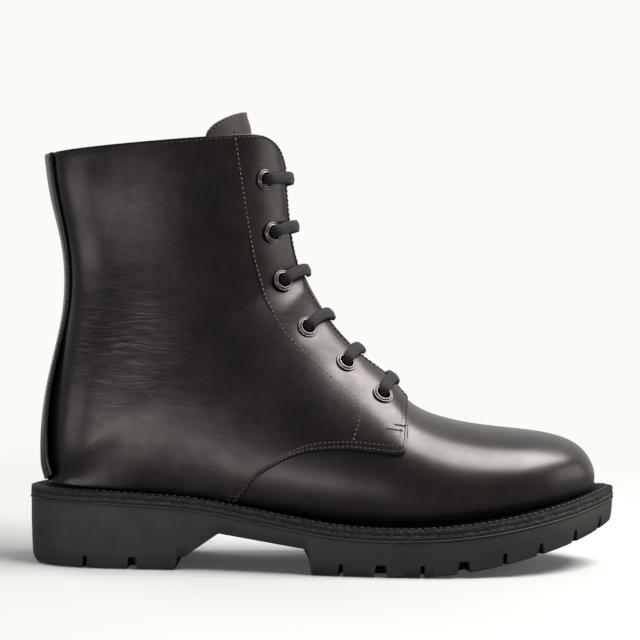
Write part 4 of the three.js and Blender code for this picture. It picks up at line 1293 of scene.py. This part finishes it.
def sole_body(name, section, k, material, capped, roughness=None):
    """A layer of the sole from a section of (inset, height function) carried round its edge."""
    rough = roughness or [0.0] * len(section)
    loops = [sole_loop(k, inset, height, noise) for (inset, height), noise in zip(section, rough)]
    size = len(loops[0])
    faces = []
    for level in range(len(loops) - 1 if capped else len(loops)):
        low, high = level * size, (level + 1) % len(loops) * size
        for i in range(size):
            j = (i + 1) % size
            faces.append((low + i, low + j, high + j, high + i))
    if capped:
        rows = len(k)
        for base, flip in ((0, True), ((len(loops) - 1) * size, False)):
            for i in range(rows - 1):
                a, b = base + i, base + i + 1
                d = base + (size - i) % size
                c = base + (size - i - 1 if i < rows - 2 else rows - 1)
                face = [v for n, v in enumerate((a, b, c, d)) if v not in (a, b, c, d)[:n]]
                faces.append(tuple(face[::-1] if flip else face))
    obj = make_object(name, np.concatenate(loops), faces, material)
    weld(obj)
    return obj


def at_top(offset):
    return lambda x, top: top + offset


TREAD_BEVEL, SPRING_START, SPRING_LENGTH, SPRING_RISE = 9.0, 200.0, 105.0, 23.0
# x, z of the tread from the heel's flat to the forefoot's: a step, the sloping breast, the waist.
TREAD_LINE = np.array([[9, 0], [79.5, 0], [79.8, 6.4], [84, 6.8], [101, 19], [146, 12.6], [148.5, 0]])


def tread(x):
    """Height of the tread under the sole."""
    x = np.asarray(x, float)
    spring = SPRING_RISE * np.maximum(0, (x - SPRING_START) / SPRING_LENGTH) ** 1.6
    level = np.interp(x, TREAD_LINE[:, 0], TREAD_LINE[:, 1])
    back = np.clip(TREAD_BEVEL - x, 0, TREAD_BEVEL)
    heel = TREAD_BEVEL - np.sqrt(TREAD_BEVEL**2 - back**2)
    return np.where(x < TREAD_BEVEL, heel, level + spring)


# Round each layer's section: inset, height from the welt's top, and roughness of the cut.
WELT_SECTION = [
    (10.5, 0, 0), (3.0, 0, 0.05), (1.3, -0.05, 0.25), (0.7, -0.3, 0.25), (0.45, -0.9, 0.2),
    (0.45, -1.8, 0.18), (0.5, -2.7, 0.18), (0.6, -2.82, 0.1), (10.5, -2.82, 0),
]
MIDSOLE_SECTION = [
    (12, -2.84, 0), (0.6, -2.84, 0.1), (0.5, -2.95, 0.18), (0.5, -4.2, 0.18), (0.55, -5.2, 0.18),
    (0.9, -5.4, 0.1), (12, -5.4, 0),
]


def cut_layer(node, name, section, material, capped):
    """A leather layer of the sole with a rough-cut edge."""
    levels = [(inset, at_top(height)) for inset, height, _ in section]
    noise = [rough for _, _, rough in section]
    obj = sole_body(name, levels, sole_rows(0.8), material, capped, noise)
    finish_piece(obj, "welt_leather", node)


def welt_thread():
    """Lockstitch round the welt's top, sunk a little into it."""
    k = sole_rows(1.0)
    loop = sole_loop(k, 3.6, at_top(0.05))
    up = np.tile([0.0, 0.0, 1.0], (len(loop), 1))
    obj = stitches("welt_lockstitch", [(loop, up)], WELT_THREAD, pitch=3.6, radius=0.45, gap=0.7, arch=0.35)
    finish_piece(obj, "thread", "welt_stitch")


# Notches between the lugs at the edge: x, width at the top, width at the tread.
NOTCHES = [
    (32.5, 2.2, 2.6), (57, 3.5, 6.5), (163, 2.2, 2.6), (183, 5, 8), (204, 2.2, 2.6),
    (225, 5, 8), (246, 2.2, 2.6), (265, 1.4, 6.5), (284, 1.4, 6), (299, 1.4, 6),
]
NOTCH_DEPTH, NOTCH_REACH = 6.0, 14.0
# Crossed grooves inside the edge: x of each pair, half length, half widths, depth and lean.
GROOVES = [
    ((162, 178, 194, 210, 226, 242, 258, 274), 17, 2.6, 1.8, 4.2, 0.5),
    ((36, 52, 68), 12, 1.8, 1.2, 4.0, 0.6),
]


def prism(outline, y0, y1, angle, place):
    """A wedge cut: a side-view outline run from y0 to y1, turned in plan and moved."""
    points, faces = [], []
    c, s = math.cos(angle), math.sin(angle)
    n = len(outline)
    for y in (y0, y1):
        for x, z in outline:
            points.append((place[0] + c * x - s * y, place[1] + s * x + c * y, place[2] + z))
    for i in range(n):
        j = (i + 1) % n
        faces.append((i, j, n + j, n + i))
    faces += [tuple(range(n))[::-1], tuple(range(n, 2 * n))]
    return points, faces


def tread_cuts():
    """All the wedges that shape the tread, as one object."""
    cuts = []
    for side in SIDES.values():
        for x, top, bottom in NOTCHES:
            k = np.array([float(np.interp(x, SOLE_FINE[:, 0], K_FINE))])
            here, inward, _ = (v[0] for v in edge_points(k, side))
            outline = [(-bottom / 2, -4), (bottom / 2, -4), (top / 2, NOTCH_DEPTH), (-top / 2, NOTCH_DEPTH)]
            angle = math.atan2(inward[1], inward[0]) - math.pi / 2
            cuts.append(prism(outline, -6, NOTCH_REACH, angle, (*here, float(tread(here[0])))))
    for spots, reach, low, high, depth, lean in GROOVES:
        outline = [(-low, -5), (low, -5), (high, depth), (-high, depth)]
        for x in spots:
            centre = (x, 4.0 * float(smoothstep(x, 200, 280)), float(tread(x)))
            cuts += [prism(outline, -reach, reach, turn, centre) for turn in (lean, -lean)]
    cutter = make_object("tread_cutter", *joined(cuts), RUBBER)
    weld(cutter)
    return cutter


def outsole():
    k = sole_rows(1.3)
    breaks = np.interp(TREAD_LINE[1:, 0], SOLE_FINE[:, 0], K_FINE)
    k = np.unique(np.concatenate([k, breaks]))
    top = -5.45

    def wall(share):
        return lambda x, edge: tread(x) + (edge + top - 1.6 - tread(x)) * share

    section = [
        (14, at_top(top)), (0.6, at_top(top)), (0.1, at_top(top - 0.15)), (-0.1, at_top(top - 0.5)),
        (0.1, at_top(top - 0.85)), (0.55, at_top(top - 1.0)), (0.6, at_top(top - 1.3)), (0.45, wall(0.98)),
        (0.6, wall(0.6)), (0.9, wall(0.3)), (1.4, wall(0.04)), (2.0, wall(0)), (14, wall(0)),
    ]
    obj = sole_body("outsole_lugged", section, k, RUBBER, True)
    cutter = tread_cuts()
    cut = obj.modifiers.new("tread", "BOOLEAN")
    cut.operation, cut.solver, cut.use_self, cut.object = "DIFFERENCE", "EXACT", True, cutter
    apply_modifiers(obj)
    bpy.data.objects.remove(cutter)
    soft = obj.modifiers.new("edges", "BEVEL")
    soft.width, soft.segments, soft.limit_method, soft.angle_limit = 0.35 * MM, 2, "ANGLE", math.radians(38)
    apply_modifiers(obj)
    sharpen(obj, 35)
    finish_piece(obj, "rubber_sole", "outsole")


def apply_modifiers(obj):
    bpy.context.view_layer.update()
    graph = bpy.context.evaluated_depsgraph_get()
    mesh = bpy.data.meshes.new_from_object(obj.evaluated_get(graph))
    obj.modifiers.clear()
    obj.data = mesh


def sharpen(obj, degrees):
    """Smooth shading that keeps edges over an angle crisp."""
    obj.data.shade_smooth()
    obj.data.set_sharp_from_angle(angle=math.radians(degrees))


# ---- carried-over CAD pieces ----

def finish_cad_nodes():
    finishes = [
        (BOARD_PAINTED_SHADE, ["insole_rib", "insole_board", "heel_counter", "toe_puff"]),
        (DARK_LINING, ["vamp_lining", "facing_stay_lateral", "facing_stay_medial"]),
        (CORK, ["cork_filler"]),
        (STEEL, ["shank"]),
        (LINING, ["footbed"]),
        (AGLET, ["aglet_upper", "aglet_lower"]),
    ]
    for finish, names in finishes:
        for name in names:
            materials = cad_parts[name].data.materials
            materials.clear()
            materials.append(finish)


# ---- stage ----

FLOOR_DROP = 0.0004


def backdrop():
    """A pale floor that runs up into a wall behind; reflections see it darker than the camera does."""
    bend = arc(1.6, 1.0, 1.0, 1.0, -math.pi / 2, 0, 16)
    outline = [(-3.0, 0.0), *bend, (2.6, 5.0)]
    verts = [(x, y, z - FLOOR_DROP) for x in (-5.0, 5.0) for y, z in outline]
    count = len(outline)
    faces = [(i, i + 1, count + i + 1, count + i) for i in range(count - 1)]
    mesh = bpy.data.meshes.new("backdrop")
    mesh.from_pydata(verts, [], faces)
    mesh.shade_smooth()
    mesh.materials.append(backdrop_paper())
    placed("backdrop", mesh)


def backdrop_paper():
    """Paper lit by the lights near the boot and evenly bright far from it and behind it."""
    n = Nodes("backdrop_paper")
    glow = n.add("ShaderNodeEmission", Color=(0.973, 0.955, 0.92, 1)).outputs["Emission"]
    paper = n.add("ShaderNodeBsdfDiffuse", Color=(0.615, 0.63, 0.63, 1)).outputs["BSDF"]
    dim = n.add("ShaderNodeBsdfDiffuse", Color=(0.14, 0.137, 0.134, 1)).outputs["BSDF"]
    away = n.add("ShaderNodeVectorMath", operation="LENGTH")
    parts = n.add("ShaderNodeSeparateXYZ")
    n.link(n.place, away.inputs[0]).link(n.place, parts.inputs["Vector"])
    direct = n.mixed(n.spread(away.outputs["Value"], 0.05, 1, 0.2, 0.75), paper, glow)
    reflected = n.mixed(n.spread(parts.outputs["Y"], 0, 0.7, 0.5, 1.4), dim, glow)
    seen = n.mixed(n.add("ShaderNodeLightPath").outputs["Is Camera Ray"], reflected, direct)
    n.link(seen, n.tree.nodes["Material Output"].inputs["Surface"])
    return n.material


MIDDLE = Vector((0.1, 0, 0.1))


def area_light(name, azimuth, elevation, distance, size, power):
    """A soft box seen from the boot at an azimuth from the camera side towards the toe."""
    a, e = math.radians(azimuth), math.radians(elevation)
    data = bpy.data.lights.new(name, "AREA")
    data.shape, data.size, data.size_y, data.energy = "RECTANGLE", *size, power
    data.color = (1.0, 0.955, 0.925)
    obj = placed(name, data)
    towards = Vector((math.sin(a) * math.cos(e), -math.cos(a) * math.cos(e), math.sin(e)))
    obj.location = MIDDLE + towards * distance
    obj.rotation_euler = (-towards).to_track_quat("-Z", "Y").to_euler()
    obj.visible_camera = False


def lights():
    area_light("softbox", 74, 57, 1.5, (1.2, 0.8), 41)
    area_light("right_card", 86, 8, 0.95, (0.6, 0.45), 1.7)
    area_light("left_card", -72, -2, 0.7, (0.3, 0.1), 0.28)
    area_light("low_card", -32, -8, 0.55, (0.42, 0.045), 0.58)
    area_light("back_rim", -135, 32, 1.5, (0.7, 0.7), 6)
    world = bpy.data.worlds.new("studio")
    bpy.context.scene.world = world
    world.use_nodes = True
    sky = world.node_tree.nodes["Background"].inputs
    sky["Color"].default_value = (0.97, 0.925, 0.9, 1)
    sky["Strength"].default_value = 0.15


def camera():
    """Square on to the outer side, a metre away, rolled very slightly."""
    centre_x = 151 * MM + HEEL_BACK
    data = bpy.data.cameras.new("camera")
    data.lens, data.sensor_width = 107, 36
    obj = placed("camera", data)
    obj.location = (centre_x, -1.0, 0.15)
    aim = Vector((centre_x, 0, 0.127)) - Vector(obj.location)
    roll = Matrix.Rotation(math.radians(0.8), 3, "Z")
    obj.rotation_euler = (aim.to_track_quat("-Z", "Y").to_matrix() @ roll).to_euler()
    bpy.context.scene.camera = obj


vamp()
for label, side in SIDES.items():
    quarter(side, label)
    quarter_lining(side, label)
backstay()
tongue()
seam_threads()
tongue_thread()
bar_tacks()
eyelets()
lace()
cut_layer("welt", "welt_strip", WELT_SECTION, WELT_PAINTED_SHADE, False)
cut_layer("midsole", "midsole_layer", MIDSOLE_SECTION, MIDSOLE, True)
welt_thread()
outsole()
finish_cad_nodes()
backdrop()
lights()
camera()
bpy.context.scene.view_settings.view_transform = "Standard"
